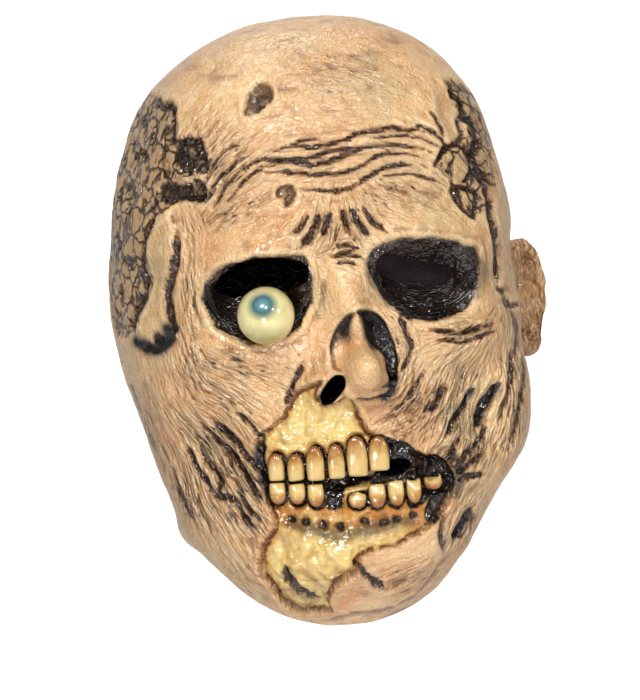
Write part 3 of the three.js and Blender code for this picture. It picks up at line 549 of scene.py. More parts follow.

# Where the streaks are darkest, and where a brown veil of painted shade lies over the hollows and the sides of the
# face: x, y, half width, half height, turn, strength
streakAndShadeZones = {
    "cheekRight": [
        (240, 366, 50, 16, 10, 0.8), (225, 400, 60, 18, 32, 0.55), (225, 455, 62, 24, 42, 1.0),
        (195, 500, 40, 18, 60, 0.9), (245, 515, 34, 18, 48, 0.9), (150, 440, 16, 50, -10, 0.5)],
    "cheekLeft": [
        (465, 330, 44, 13, -14, 0.8), (400, 345, 14, 36, -12, 0.7), (440, 400, 60, 34, -50, 0.8),
        (470, 450, 36, 26, -40, 0.9), (465, 520, 18, 34, 20, 0.8), (410, 575, 50, 16, -12, 0.6)],
    "brow": [
        (340, 226, 52, 20, 0, 0.8), (346, 256, 24, 14, 0, 0.6), (225, 175, 36, 30, -45, 0.6),
        (345, 160, 110, 34, 0, 0.45), (225, 215, 44, 12, -20, 0.7), (405, 195, 60, 16, 5, 0.5),
        (335, 80, 60, 30, 0, 0.45)],
    "sides": [
        (190, 300, 14, 60, 0, 0.5), (400, 432, 30, 14, -20, 0.4), (318, 290, 9, 40, 0, 0.4),
        (515, 400, 14, 60, 0, 0.7), (200, 140, 30, 30, 0, 0.4)],
    "mouth": [
        (300, 400, 14, 20, 0, 0.5), (250, 575, 22, 40, -30, 0.35), (400, 405, 30, 16, -30, 0.5)],
}

# Tinted spots: x, y, radius in pixels
tintSpots = {
    "moss": [(210, 447, 20), (455, 415, 24), (300, 238, 14), (316, 285, 9), (320, 300, 9)],
    "blush": [(447, 505, 12), (378, 407, 14), (344, 600, 16), (395, 575, 20), (282, 420, 8), (270, 540, 8)],
    "strength": 0.8,
}

# Heights of the low relief, in mm
carve = {
    "calmWrinkle": 0.1, "streakWrinkle": 1.1, "coarse": 0.65, "middle": 0.4, "swell": 0.6, "grain": 0.16,
    "shoulder": 0.35, "boneDrop": 1.5, "boneLip": 1.0, "boneEdge": 0.9, "boneGrain": 0.45, "boneFlute": 0.5,
    "noseRim": 0.9, "noseInside": 1.1, "woundRim": 0.55, "templeFlap": 1.3, "chinFlap": 0.9, "tissue": 0.9,
    "socketRim": 0.9, "goreLump": 0.7, "goreDrop": 0.4, "toothGroove": 1.2, "toothRim": 0.7,
    "rotFlat": 0.5, "rotCell": 1.0, "rotGrain": 0.5,
}

# The nose opening in picture pixels: the ball, the ridge above it and where the dark flanks end
noseShape = {
    "ball": (364, 371), "ballHalf": (23, 19), "ridgeTop": (354, 310), "ridgeLean": 0.14, "ridgeHalf": 2.2,
    "ridgeSpread": 0.13, "flankSplit": 357, "flankEndThin": (334, 350), "flankEndWide": (386, 397),
}

teethRows = {"upper": 6, "lower": 8}
teethNames = ["tooth_%s_%d" % (row, i + 1) for row, n in teethRows.items() for i in range(n)]

front = smooth(facing, 0.05, 0.28) * smooth(np.cos(gridTurn), -0.35, -0.1)
wobbleU = u + 1.7 * cloud(px / 6, py / 6, pz / 6, 11)
wobbleV = v + 1.7 * cloud(px / 6, py / 6, pz / 6, 21)

patchDistance = {}
for name, points in patches.items():
    line = rounded(points, steps=4)
    patchDistance[name] = np.where(front > 0.05, signedDistance(wobbleU, wobbleV, line), 60.0)

# The rotted scalp goes on past the edge of the picture, over the side of the head
sideRot = {"middle": 211, "halfTall": 116, "halfLong": 180, "startTurn": -1.15, "pixelsPerTurn": 209,
           "wobble": 46, "fray": 16}
sideLong = np.clip(sideRot["startTurn"] - gridTurn, 0, None) * sideRot["pixelsPerTurn"] / sideRot["halfLong"]
sideTall = (v - sideRot["middle"]) / sideRot["halfTall"]
sideEdge = sideRot["halfTall"] * (np.hypot(sideLong, sideTall) - 1)
sideLoose = smooth(sideLong, 0, 0.3)
sideEdge += sideLoose * sideRot["wobble"] * cloud(px / 24, py / 24, pz / 24, 61)
sideEdge += (0.3 + 0.7 * sideLoose) * sideRot["fray"] * noise(px / 6, py / 6, pz / 6, 62)
pastEdge = (gridTurn < -1.1) & (facing < 0.12)
patchDistance["scalpRot"] = np.where(pastEdge, sideEdge, patchDistance["scalpRot"])


def inPatch(name, low=-1.2, high=1.2):
    return (1 - smooth(patchDistance[name], low, high)) * front


def glow(x0, y0, halfWide, halfTall, turn=0.0):
    a = math.radians(turn)
    du, dv = u - x0, v - y0
    p = (du * math.cos(a) + dv * math.sin(a)) / halfWide
    q = (dv * math.cos(a) - du * math.sin(a)) / halfTall
    return np.exp(-(p * p + q * q)) * front


# Streak frames: the surface is laid out in small overlapping tiles, each with its own direction
tiles = {"spacing": 10.0, "radius": 95.0}


def rowLengths():
    g = basePoints.reshape(rowCount, columnCount, 3)[:, int(np.argmin(np.abs(turns)))]
    return np.concatenate([[0], np.cumsum(np.linalg.norm(np.diff(g, axis=0), axis=1))])


def layTiles():
    lengths = rowLengths()
    s = gridTurn * tiles["radius"]
    m = np.repeat(lengths, columnCount)
    j = m / (tiles["spacing"] * math.sqrt(3) / 2)
    i = s / tiles["spacing"] - j / 2
    fi, fj = np.floor(i), np.floor(j)
    x, y = i - fi, j - fj
    low = x + y < 1
    corners = [
        (np.where(low, fi, fi + 1), np.where(low, fj, fj + 1), np.where(low, 1 - x - y, x + y - 1)),
        (fi + 1, fj, np.where(low, x, 1 - y)), (fi, fj + 1, np.where(low, y, 1 - x))]
    coords = np.zeros((3, len(s), 3))
    shares = np.zeros((3, len(s)))
    order = np.argsort(turns)
    for ci, cj, share in corners:
        colour = ((ci - cj) % 3).astype(int)
        centreM = cj * tiles["spacing"] * math.sqrt(3) / 2
        centreTurn = (ci + cj / 2) * tiles["spacing"] / tiles["radius"]
        row = np.clip(np.searchsorted(lengths, centreM), 0, rowCount - 1)
        column = order[np.clip(np.searchsorted(turns[order], centreTurn), 0, columnCount - 1)]
        index = row * columnCount + column
        c, n = basePoints[index], baseNormals[index]
        way, stretch = streakWay(u[index], v[index], facing[index])
        t = camAcross * np.cos(way)[:, None] - camAbove * np.sin(way)[:, None]
        t -= n * np.sum(t * n, 1)[:, None]
        t /= np.maximum(np.linalg.norm(t, axis=1), 1e-6)[:, None]
        b = np.cross(n, t)
        d = basePoints - c
        value = np.stack([np.sum(d * b, 1), np.sum(d * t, 1) / stretch, (ci * 3.7 + cj * 9.1) % 91], 1)
        for k in range(3):
            pick = colour == k
            coords[k][pick] = value[pick]
            shares[k][pick] = share[pick]
    shares = np.clip(shares, 0, 1) ** 1.6
    shares /= np.sqrt(np.sum(shares ** 2, 0))
    shares *= smooth(math.pi - np.abs(gridTurn), 0.03, 0.3)  # tiles don't meet at the back: fade out
    return coords, shares


def streakWay(x, y, seen):
    key = np.round(x) * 1000 + np.round(y)
    _, first, back = np.unique(key, return_index=True, return_inverse=True)
    xs, ys = x[first], y[first]
    d = np.hypot(xs[:, None] - wayRows[None, :, 0], ys[:, None] - wayRows[None, :, 1])
    w = 1 / (d + 8) ** 3.5
    a = np.radians(wayRows[:, 2]) * 2
    way = 0.5 * np.arctan2(w @ np.sin(a), w @ np.cos(a))
    stretch = (w @ wayRows[:, 3]) / w.sum(1)
    return way[back.reshape(-1)], np.where(seen > 0, stretch[back.reshape(-1)], 2.0)


flowCoords, flowShares = layTiles()


def streakNoise(scale, seed):
    scales = np.array([[scale], [scale], [1.0]])
    return sum(flowShares[k] * noise(*(flowCoords[k].T / scales), seed) for k in range(3))


rise = np.zeros(len(basePoints))
# Black colour laid into hollows, under the flaps, in the nose opening and along the eye holes: painted shade, with the
# stain below the tooth roots
paintedShadeAndStain = np.zeros(len(basePoints))
bone = inPatch("bone")
sockets = np.clip(inPatch("socketRight", -3, 2) + inPatch("socketLeft", -3, 2), 0, 1)
nose = inPatch("nose")
skin = (1 - bone) * (1 - sockets)
gore = np.clip(inPatch("gore"), 0, 1)
rotField = np.clip(1 - smooth(patchDistance["scalpRot"], -3, 3) + inPatch("scalpCrack", -3, 3), 0, 1)

streakAndShadeShare = np.zeros(len(basePoints))
for area in streakAndShadeZones.values():
    for x0, y0, halfWide, halfTall, turn, strength in area:
        streakAndShadeShare += strength * glow(x0, y0, halfWide, halfTall, turn)
streakAndShadeShare = np.clip(streakAndShadeShare, 0, 1) * skin * (1 - 0.85 * nose)

# Wrinkles in the form itself, along the streaks
drift = cloud(px / 16, py / 16, pz / 16, 31)
drift2 = cloud(px / 16, py / 16, pz / 16, 41)
coarse, middle = streakNoise(4.2, 51), streakNoise(2.3, 52)
quietBack = smooth(np.cos(gridTurn), -0.6, 0.1) * 0.6 + 0.4
calm = 1 - 0.9 * nose
rise += skin * calm * (carve["calmWrinkle"] + carve["streakWrinkle"] * streakAndShadeShare) * (
    carve["coarse"] * coarse + carve["middle"] * middle)
rise += skin * calm * (carve["swell"] * cloud(px / 22, py / 22, pz / 22, 81)
                       + carve["grain"] * noise(px / 5, py / 5, pz / 5, 82))


def nearLine(points, margin, least):
    line = rounded(points, closed=False, steps=4)
    near = (front > least) & (u > line[:, 0].min() - margin) & (u < line[:, 0].max() + margin)
    near &= (v > line[:, 1].min() - margin) & (v < line[:, 1].max() + margin)
    return line, near


# Long grooves
lineNear = np.full(len(basePoints), 3.0)
lineDark = np.zeros(len(basePoints))
for width, deep, dark, line in grooves.values():
    line, near = nearLine(line, 20, 0.05)
    d, along = lineDistance(wobbleU[near], wobbleV[near], line)
    taper = np.clip(np.sin(np.clip(along, 0.02, 0.98) * math.pi) * 2.0, 0.25, 1)
    reach = d / (width * taper)
    furrow = -deep * np.exp(-(d / (width * taper * 1.25)) ** 2)
    shoulder = carve["shoulder"] * deep * np.exp(-((d - width * 2.4) / (width * 1.1)) ** 2)
    rise[near] += (furrow + shoulder) * front[near]
    closer = reach < lineNear[near]
    lineNear[near] = np.where(closer, reach, lineNear[near])
    clear = smooth(front[near], 0.15, 0.8)
    lineDark[near] = np.maximum(lineDark[near], dark * taper * clear * np.exp(-(reach / 2.2) ** 2))

for x0, y0, radius, deep in pits.values():
    d = np.hypot(u - x0, v - y0) / radius
    rise -= deep * np.exp(-d ** 2 * 1.6) * front

# Soft strokes of painted shade, and the stain below the roots
for width, strength, line in shading.values():
    line, near = nearLine(line, 40, 0.02)
    d, along = lineDistance(wobbleU[near], wobbleV[near], line)
    dark = np.minimum(1.7 * strength * np.exp(-(d / width) ** 2), min(strength + 0.1, 1))
    paintedShadeAndStain[near] = np.maximum(paintedShadeAndStain[near], dark * front[near])

# Hollows are dented and painted with shade as well
for width, deep, line in hollows.values():
    line, near = nearLine(line, 50, 0.02)
    d, along = lineDistance(u[near], v[near], line)
    taper = np.clip(np.sin(np.clip(along, 0.03, 0.97) * math.pi) * 2.4, 0.4, 1)
    dent = np.exp(-(d / (width * taper)) ** 2) * front[near]
    rise[near] -= deep * taper * dent
    paintedShadeAndStain[near] = np.maximum(paintedShadeAndStain[near], np.minimum(1.5 * dent, 1))

for x0, y0, halfWide, halfTall, high in domes.values():
    d = np.hypot((u - x0) / halfWide, (v - y0) / halfTall)
    rise += high * np.exp(-1.5 * d ** 2) * front

# The nose opening is painted dark on both sides of its ridge and all round its ball: painted shade in the hollow,
# partly the mask's own black paint; the ball itself is kept clear
ballGap = np.hypot((wobbleU - noseShape["ball"][0]) / noseShape["ballHalf"][0],
                   (wobbleV - noseShape["ball"][1]) / noseShape["ballHalf"][1])
ridgeU, ridgeV = noseShape["ridgeTop"]
ridgeGap = np.abs(wobbleU - ridgeU - (v - ridgeV) * noseShape["ridgeLean"]) - noseShape["ridgeHalf"]
ridgeGap -= np.clip(v - ridgeV - 2, 0, 60) * noseShape["ridgeSpread"]
flankEnd = 1 - np.where(u < noseShape["flankSplit"], smooth(v, *noseShape["flankEndThin"]),
                        smooth(v, *noseShape["flankEndWide"]))
noseFlank = inPatch("nose", -2.5, 1.5) * smooth(ridgeGap, -1, 4) * smooth(ballGap, 0.97, 1.2) * flankEnd
paintedShadeAndStain = np.maximum(paintedShadeAndStain, noseFlank)
paintedShadeAndStain *= 1 - 0.97 * (1 - smooth(ballGap, 0.86, 1.06)) * front
ballIn = (1 - smooth(ballGap, 0.9, 1.15)) * front

# Bone lies lower than the skin, which ends in a curled lip
edge = patchDistance["bone"]
rise -= carve["boneDrop"] * bone
rise += carve["boneLip"] * np.exp(-((edge - 3.4) / 2.8) ** 2) * front * (edge > -1) * (1 - sockets)
rise -= carve["boneEdge"] * np.exp(-((edge + 1.5) / 1.8) ** 2) * front
boneGrain = cloud(px / 8, py / 8, pz / 8, 141)
flutes = np.cos(u / 4.2 + boneGrain * 2) * smooth(v, 396, 420) * (1 - smooth(v, 436, 456))
rise += bone * (1 - gore) * (carve["boneGrain"] * boneGrain + carve["boneFlute"] * flutes)

# The nose opening has a sharp rim
noseEdge = patchDistance["nose"]
rise += carve["noseRim"] * np.exp(-((noseEdge - 2.6) / 2.4) ** 2) * front * (1 - bone)
rise -= carve["noseInside"] * np.exp(-((noseEdge + 2.4) / 2.4) ** 2) * front * (v < 382)

# Wounds, cracked scalp and flaps
woundDepth = {"spotHigh": 1.5, "spotLow": 1.1, "squareHigh": 1.3, "squareLow": 1.2}  # mm
for name, deep in woundDepth.items():
    hole = inPatch(name, -2, 1)
    rise -= deep * hole * (0.7 + 0.9 * noise(px / 2.0, py / 2.0, pz / 2.0, 101))
    rise += carve["woundRim"] * np.exp(-((patchDistance[name] - 2.5) / 2.2) ** 2) * front
rotCells = noise(px / 5.2 + drift, py / 5.2, pz / 5.2 + drift2, 111)
rise -= rotField * (carve["rotFlat"] + carve["rotCell"] * smooth(rotCells, 0.1, 0.6))
rise -= rotField * carve["rotGrain"] * np.abs(noise(px / 3, py / 3, pz / 3, 112))
flapField = inPatch("templeFlap", -3, 1)
rise += flapField * carve["templeFlap"]
rise += inPatch("flap", -3, 1) * carve["chinFlap"]

# Stringy tissue in the sockets and lumps of gore
socketMiddles = {"socketRight": (258, 285), "socketLeft": (425, 270)}  # picture pixels
for name, centre in socketMiddles.items():
    ring = np.hypot((u - centre[0]) / 1.15, v - centre[1])
    lumps = noise(ring / 4.2 + drift * 0.5, np.arctan2(v - centre[1], u - centre[0]) * 1.6, pz * 0, 121)
    rise += inPatch(name, -4, 0) * carve["tissue"] * lumps
    rise += carve["socketRim"] * np.exp(-((patchDistance[name] - 3.2) / 3.0) ** 2) * front * (1 - bone)
rise += gore * (carve["goreLump"] * noise(px / 2.4, py / 2.4, pz / 2.4, 131) - carve["goreDrop"])


# Outline of each tooth in the picture, with its arched root, and the groove round it
def toothOutline(name):
    low, high = [np.array(c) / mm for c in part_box(name)]
    corners = np.array([(x, low[1], z) for x in (low[0], high[0]) for z in (low[2], high[2])])
    cu, cv = toPixel(corners)
    centreU, centreV = cu.mean(), cv.mean()
    halfU = (high[0] - low[0]) / 2 * picture["pixelsPerMm"]
    halfV = (high[2] - low[2]) / 2 * picture["pixelsPerMm"]
    upDown = -1 if "upper" in name else 1
    line = []
    for k in range(28):
        a = 2 * math.pi * k / 28
        c, s = math.cos(a), math.sin(a)
        power = 2.1 if s * upDown > 0 else 5
        reach = (abs(c) ** power + abs(s) ** power) ** (-1 / power)
        line.append((centreU + halfU * c * reach, centreV + halfV * s * reach))
    return np.array(line)


toothEdge = np.full(len(basePoints), 20.0)
for name in teethNames:
    toothEdge = np.minimum(toothEdge, signedDistance(u, v, toothOutline(name), reach=20.0))
toothEdge = np.where(front > 0.1, toothEdge, 20.0)
rise -= carve["toothGroove"] * np.exp(-((toothEdge - 1.6) / 1.8) ** 2)
rise += carve["toothRim"] * np.exp(-((toothEdge - 6.0) / 2.6) ** 2) * bone

amber = np.exp(-(np.clip(toothEdge, 0, 40) / 6.5) ** 2) * (v < 486)
amber = np.maximum(amber, smooth(v, 486, 496) * (1 - smooth(v, 520, 540)) * 0.9) * bone
amber = np.maximum(amber, 0.7 * np.exp(-(np.abs(edge) / 5.0) ** 2) * bone)
moss = 0.5 * np.clip(cloud(px / 26, py / 26, pz / 26, 151), 0, 1) + 0.35 * flapField
for x0, y0, radius in tintSpots["moss"]:
    moss += tintSpots["strength"] * glow(x0, y0, radius, radius)
blush = 0.3 * np.clip(cloud(px / 18, py / 18, pz / 18, 161), 0, 1)
for x0, y0, radius in tintSpots["blush"]:
    blush += tintSpots["strength"] * glow(x0, y0, radius, radius)
shade = np.clip(0.5 + 0.5 * cloud(px / 30, py / 30, pz / 30, 171), 0, 1)


def blurred(values, reach):
    grid = values.reshape(rowCount, columnCount)
    for axis in (0, 1):
        grid = sum(np.roll(grid, step, axis) for step in range(-reach, reach + 1)) / (2 * reach + 1)
    return grid.reshape(-1)


# How far each point lies below its neighbours: the shader paints shade into the hollows and highlight onto the ridges
# from it
cavity = np.clip(1.3 * (blurred(rise, 2) - rise) + 0.5 * (blurred(rise, 7) - rise), -1, 1) * quietBack
cavity *= 1 - 0.85 * ballIn

finalPoints = basePoints + baseNormals * (rise * quietBack)[:, None]
print("relief and paint fields made")


# Surface lookup: the outer point that a picture pixel shows
lookup = KDTree(int((facing > 0.1).sum()))
for i in np.nonzero(facing > 0.1)[0]:
    lookup.insert((u[i], v[i], 0), int(i))
lookup.balance()


def surfaceAt(pixelX, pixelY):
    _, index, _ = lookup.find((pixelX, pixelY, 0))
    return finalPoints[index], baseNormals[index]


# Snap the grid to the outlines of the openings, so that their edges are smooth
inHole = np.zeros(len(finalPoints), bool)
frontSide = np.cos(gridTurn) > form["faceGate"]
for o in openings.values():
    line = openingLine(o)
    x, z = finalPoints[:, 0], finalPoints[:, 2]
    d = signedDistance(x, z, line, reach=12.0)
    inside = (d < 0) & frontSide
    grid = inside.reshape(rowCount, columnCount)
    outsideNear = np.zeros_like(grid)
    for dr in (-1, 0, 1):
        for dc in (-1, 0, 1):
            outsideNear |= ~np.roll(np.roll(grid, dr, 0), dc, 1)
    border = (grid & outsideNear).reshape(-1)
    for i in np.nonzero(border)[0]:
        p = np.array([x[i], z[i]])
        a, b = line, np.roll(line, -1, 0)
        ab = b - a
        t = np.clip(np.sum((p - a) * ab, 1) / np.maximum(np.sum(ab * ab, 1), 1e-9), 0, 1)
        foot = a + ab * t[:, None]
        best = foot[np.argmin(np.sum((foot - p) ** 2, 1))]
        finalPoints[i, 0], finalPoints[i, 2] = best
    inHole |= inside & ~border


def makeMesh(name, points, faces, material, fields=None):
    mesh = bpy.data.meshes.new(name)
    mesh.from_pydata((np.asarray(points) * mm).tolist(), [], faces)
    mesh.validate()
    if fields:
        for key, values in fields.items():
            layer = mesh.attributes.new(key, "FLOAT", "POINT")
            layer.data.foreach_set("value", np.asarray(values, np.float32))
    mesh.polygons.foreach_set("use_smooth", [True] * len(mesh.polygons))
    mesh.update()
    obj = bpy.data.objects.new(name, mesh)
    bpy.context.scene.collection.objects.link(obj)
    obj.data.materials.append(material)
    return obj


def addVectors(mesh, name, values):
    layer = mesh.attributes.new(name, "FLOAT_VECTOR", "POINT")
    layer.data.foreach_set("vector", np.asarray(values, np.float32).reshape(-1))


# Materials
def addNode(tree, kind, inputs=None, **settings):
    node = tree.nodes.new(kind)
    for key, value in settings.items():
        setattr(node, key, value)
    for key, value in (inputs or {}).items():
        if isinstance(value, bpy.types.NodeSocket):
            tree.links.new(value, node.inputs[key])
        else:
            node.inputs[key].default_value = value
    return node


def rgb(r, g, b):
    def linear(c):
        c /= 255
        return c / 12.92 if c <= 0.04045 else ((c + 0.055) / 1.055) ** 2.4
    return (linear(r), linear(g), linear(b), 1.0)


def mixed(tree, share, first, second):
    node = addNode(tree, "ShaderNodeMix", data_type="RGBA")
    for index, value in ((0, share), (6, first), (7, second)):
        if isinstance(value, bpy.types.NodeSocket):
            tree.links.new(value, node.inputs[index])
        else:
            node.inputs[index].default_value = value
    return node.outputs[2]


def ranged(tree, value, fromLow, fromHigh, toLow=0.0, toHigh=1.0):
    node = addNode(tree, "ShaderNodeMapRange", {"Value": value, "From Min": fromLow, "From Max": fromHigh,
                                                "To Min": toLow, "To Max": toHigh})
    return node.outputs["Result"]


def maths(tree, operation, a, b=0.0):
    node = addNode(tree, "ShaderNodeMath", operation=operation)
    for index, value in ((0, a), (1, b)):
        if isinstance(value, bpy.types.NodeSocket):
            tree.links.new(value, node.inputs[index])
        else:
            node.inputs[index].default_value = value
    return node.outputs[0]


def attribute(tree, name):
    return addNode(tree, "ShaderNodeAttribute", attribute_name=name).outputs["Fac"]


def grainGroup():
    # Fine pores and mottling that the latex, the teeth and the eyeball share
    tree = bpy.data.node_groups.new("fineGrain", "ShaderNodeTree")
    scale = tree.interface.new_socket("Scale", in_out="INPUT", socket_type="NodeSocketFloat")
    scale.default_value = 900.0
    for name in ("Mottle", "Specks"):
        tree.interface.new_socket(name, in_out="OUTPUT", socket_type="NodeSocketFloat")
    start = addNode(tree, "NodeGroupInput")
    place = addNode(tree, "ShaderNodeTexCoord").outputs["Object"]
    quarter = maths(tree, "MULTIPLY", start.outputs["Scale"], 0.12)
    broad = addNode(tree, "ShaderNodeTexNoise", {"Vector": place, "Scale": quarter, "Detail": 5.0,
                                                 "Roughness": 0.62, "Distortion": 0.6})
    half = maths(tree, "MULTIPLY", start.outputs["Scale"], 0.55)
    cells = addNode(tree, "ShaderNodeTexVoronoi", {"Vector": place, "Scale": half})
    end = addNode(tree, "NodeGroupOutput")
    tree.links.new(broad.outputs["Fac"], end.inputs["Mottle"])
    tree.links.new(ranged(tree, cells.outputs["Distance"], 0.05, 0.28, 1.0, 0.0), end.inputs["Specks"])
    return tree


fineGrain = grainGroup()


def newMaterial(name):
    material = bpy.data.materials.new(name)
    material.use_nodes = True
    tree = material.node_tree
    return material, tree, tree.nodes["Principled BSDF"]


def grain(tree, scale):
    node = addNode(tree, "ShaderNodeGroup", node_tree=fineGrain)
    node.inputs["Scale"].default_value = scale
    return node.outputs


def bumped(tree, height, strength, distance):
    node = addNode(tree, "ShaderNodeBump", {"Strength": strength, "Distance": distance, "Height": height})
    return node.outputs["Normal"]


# Of these, light also paints highlight on ridges; brown paints shade in hollows and over the streak zones; gore and rot
# also paint black shade; inside is the near-black inner wall that stands in for shade
paint = {
    "tan": rgb(214, 166, 112), "light": rgb(230, 197, 150), "warm": rgb(196, 140, 90),
    "wash": rgb(46, 28, 20), "brown": rgb(112, 72, 44), "bone": rgb(220, 192, 122),
    "boneShade": rgb(176, 126, 62), "gum": rgb(176, 106, 34), "boneEdge": rgb(72, 40, 18),
    "gore": rgb(21, 14, 11), "clot": rgb(50, 33, 25), "moss": rgb(160, 154, 112),
    "blush": rgb(214, 128, 70), "rot": rgb(40, 26, 19), "plate": rgb(170, 136, 92),
    "inside": rgb(14, 12, 11),
}

# Scales of the latex's patterns (streaks in mm along the tiles, the rest in metres), its gloss and its bump
latexLook = {
    "grain": 1100.0, "streak": 0.36, "hair": 0.85, "crack": 105.0, "crackWarp": 90.0, "hole": 95.0,
    "ragged": 6.0, "pitWarp": 420.0, "pitReach": 0.0042, "crackReach": 0.011,
    "drySheen": (0.25, 0.34), "wetShare": 0.72, "specular": 0.75, "bumpDistance": 0.0055,
    "worm": (360.0, 0.6, 0.8), "boneBroad": (150.0, 0.5, 0.4), "boneFine": (400.0, 0.4, 0.4),
    "goreLumps": (260.0, 0.5, 0.8),
    "hairHeight": 0.22, "wormHeight": 0.045, "boneBroadHeight": 0.8, "boneFineHeight": 0.12,
    "goreHeight": 0.5, "strokeHeight": 0.14, "lineHeight": 0.12, "edgeHeight": 0.16, "crackHeight": 0.35,
}

latexFields = ("wash", "bone", "gore", "socket", "line", "lineDark", "wound", "rot", "tooth", "amber",
               "streak", "paintedShadeAndStain", "moss", "blush", "shade", "cavity", "lining")


def vectorAttribute(tree, name):
    return addNode(tree, "ShaderNodeAttribute", attribute_name=name).outputs["Vector"]


def streakHeight(tree, scale, detail):
    parts = []
    for name in ("flowA", "flowB", "flowC"):
        way = addNode(tree, "ShaderNodeTexNoise", {"Vector": vectorAttribute(tree, name), "Scale": scale,
                                                   "Detail": detail, "Roughness": 0.62})
        parts.append(maths(tree, "SUBTRACT", way.outputs["Fac"], 0.5))
    joined = addNode(tree, "ShaderNodeCombineXYZ", {"X": parts[0], "Y": parts[1], "Z": parts[2]})
    dot = addNode(tree, "ShaderNodeVectorMath", operation="DOT_PRODUCT")
    tree.links.new(joined.outputs["Vector"], dot.inputs[0])
    tree.links.new(vectorAttribute(tree, "flowShare"), dot.inputs[1])
    return dot.outputs["Value"]


def pitMask(tree, place):
    # Each pit's distance is measured from its own centre on the surface, through a warped place
    warp = addNode(tree, "ShaderNodeTexNoise", {"Vector": place, "Detail": 2.0,
                                                "Scale": latexLook["pitWarp"]})
    bent = addNode(tree, "ShaderNodeVectorMath", {1: (latexLook["pitReach"],) * 3, 2: place},
                   operation="MULTIPLY_ADD")
    centred = addNode(tree, "ShaderNodeVectorMath", {1: (0.5, 0.5, 0.5)}, operation="SUBTRACT")
    tree.links.new(warp.outputs["Color"], centred.inputs[0])
    tree.links.new(centred.outputs["Vector"], bent.inputs[0])
    nearest = None
    for x0, y0, radius, _ in pits.values():
        centre, _ = surfaceAt(x0, y0)
        gap = addNode(tree, "ShaderNodeVectorMath", {0: bent.outputs["Vector"], 1: tuple(centre * mm)},
                      operation="DISTANCE").outputs["Value"]
        share = maths(tree, "DIVIDE", gap, radius / picture["pixelsPerMm"] * mm)
        nearest = share if nearest is None else maths(tree, "MINIMUM", nearest, share)
    return ranged(tree, nearest, 0.55, 1.15, 1.0, 0.0)


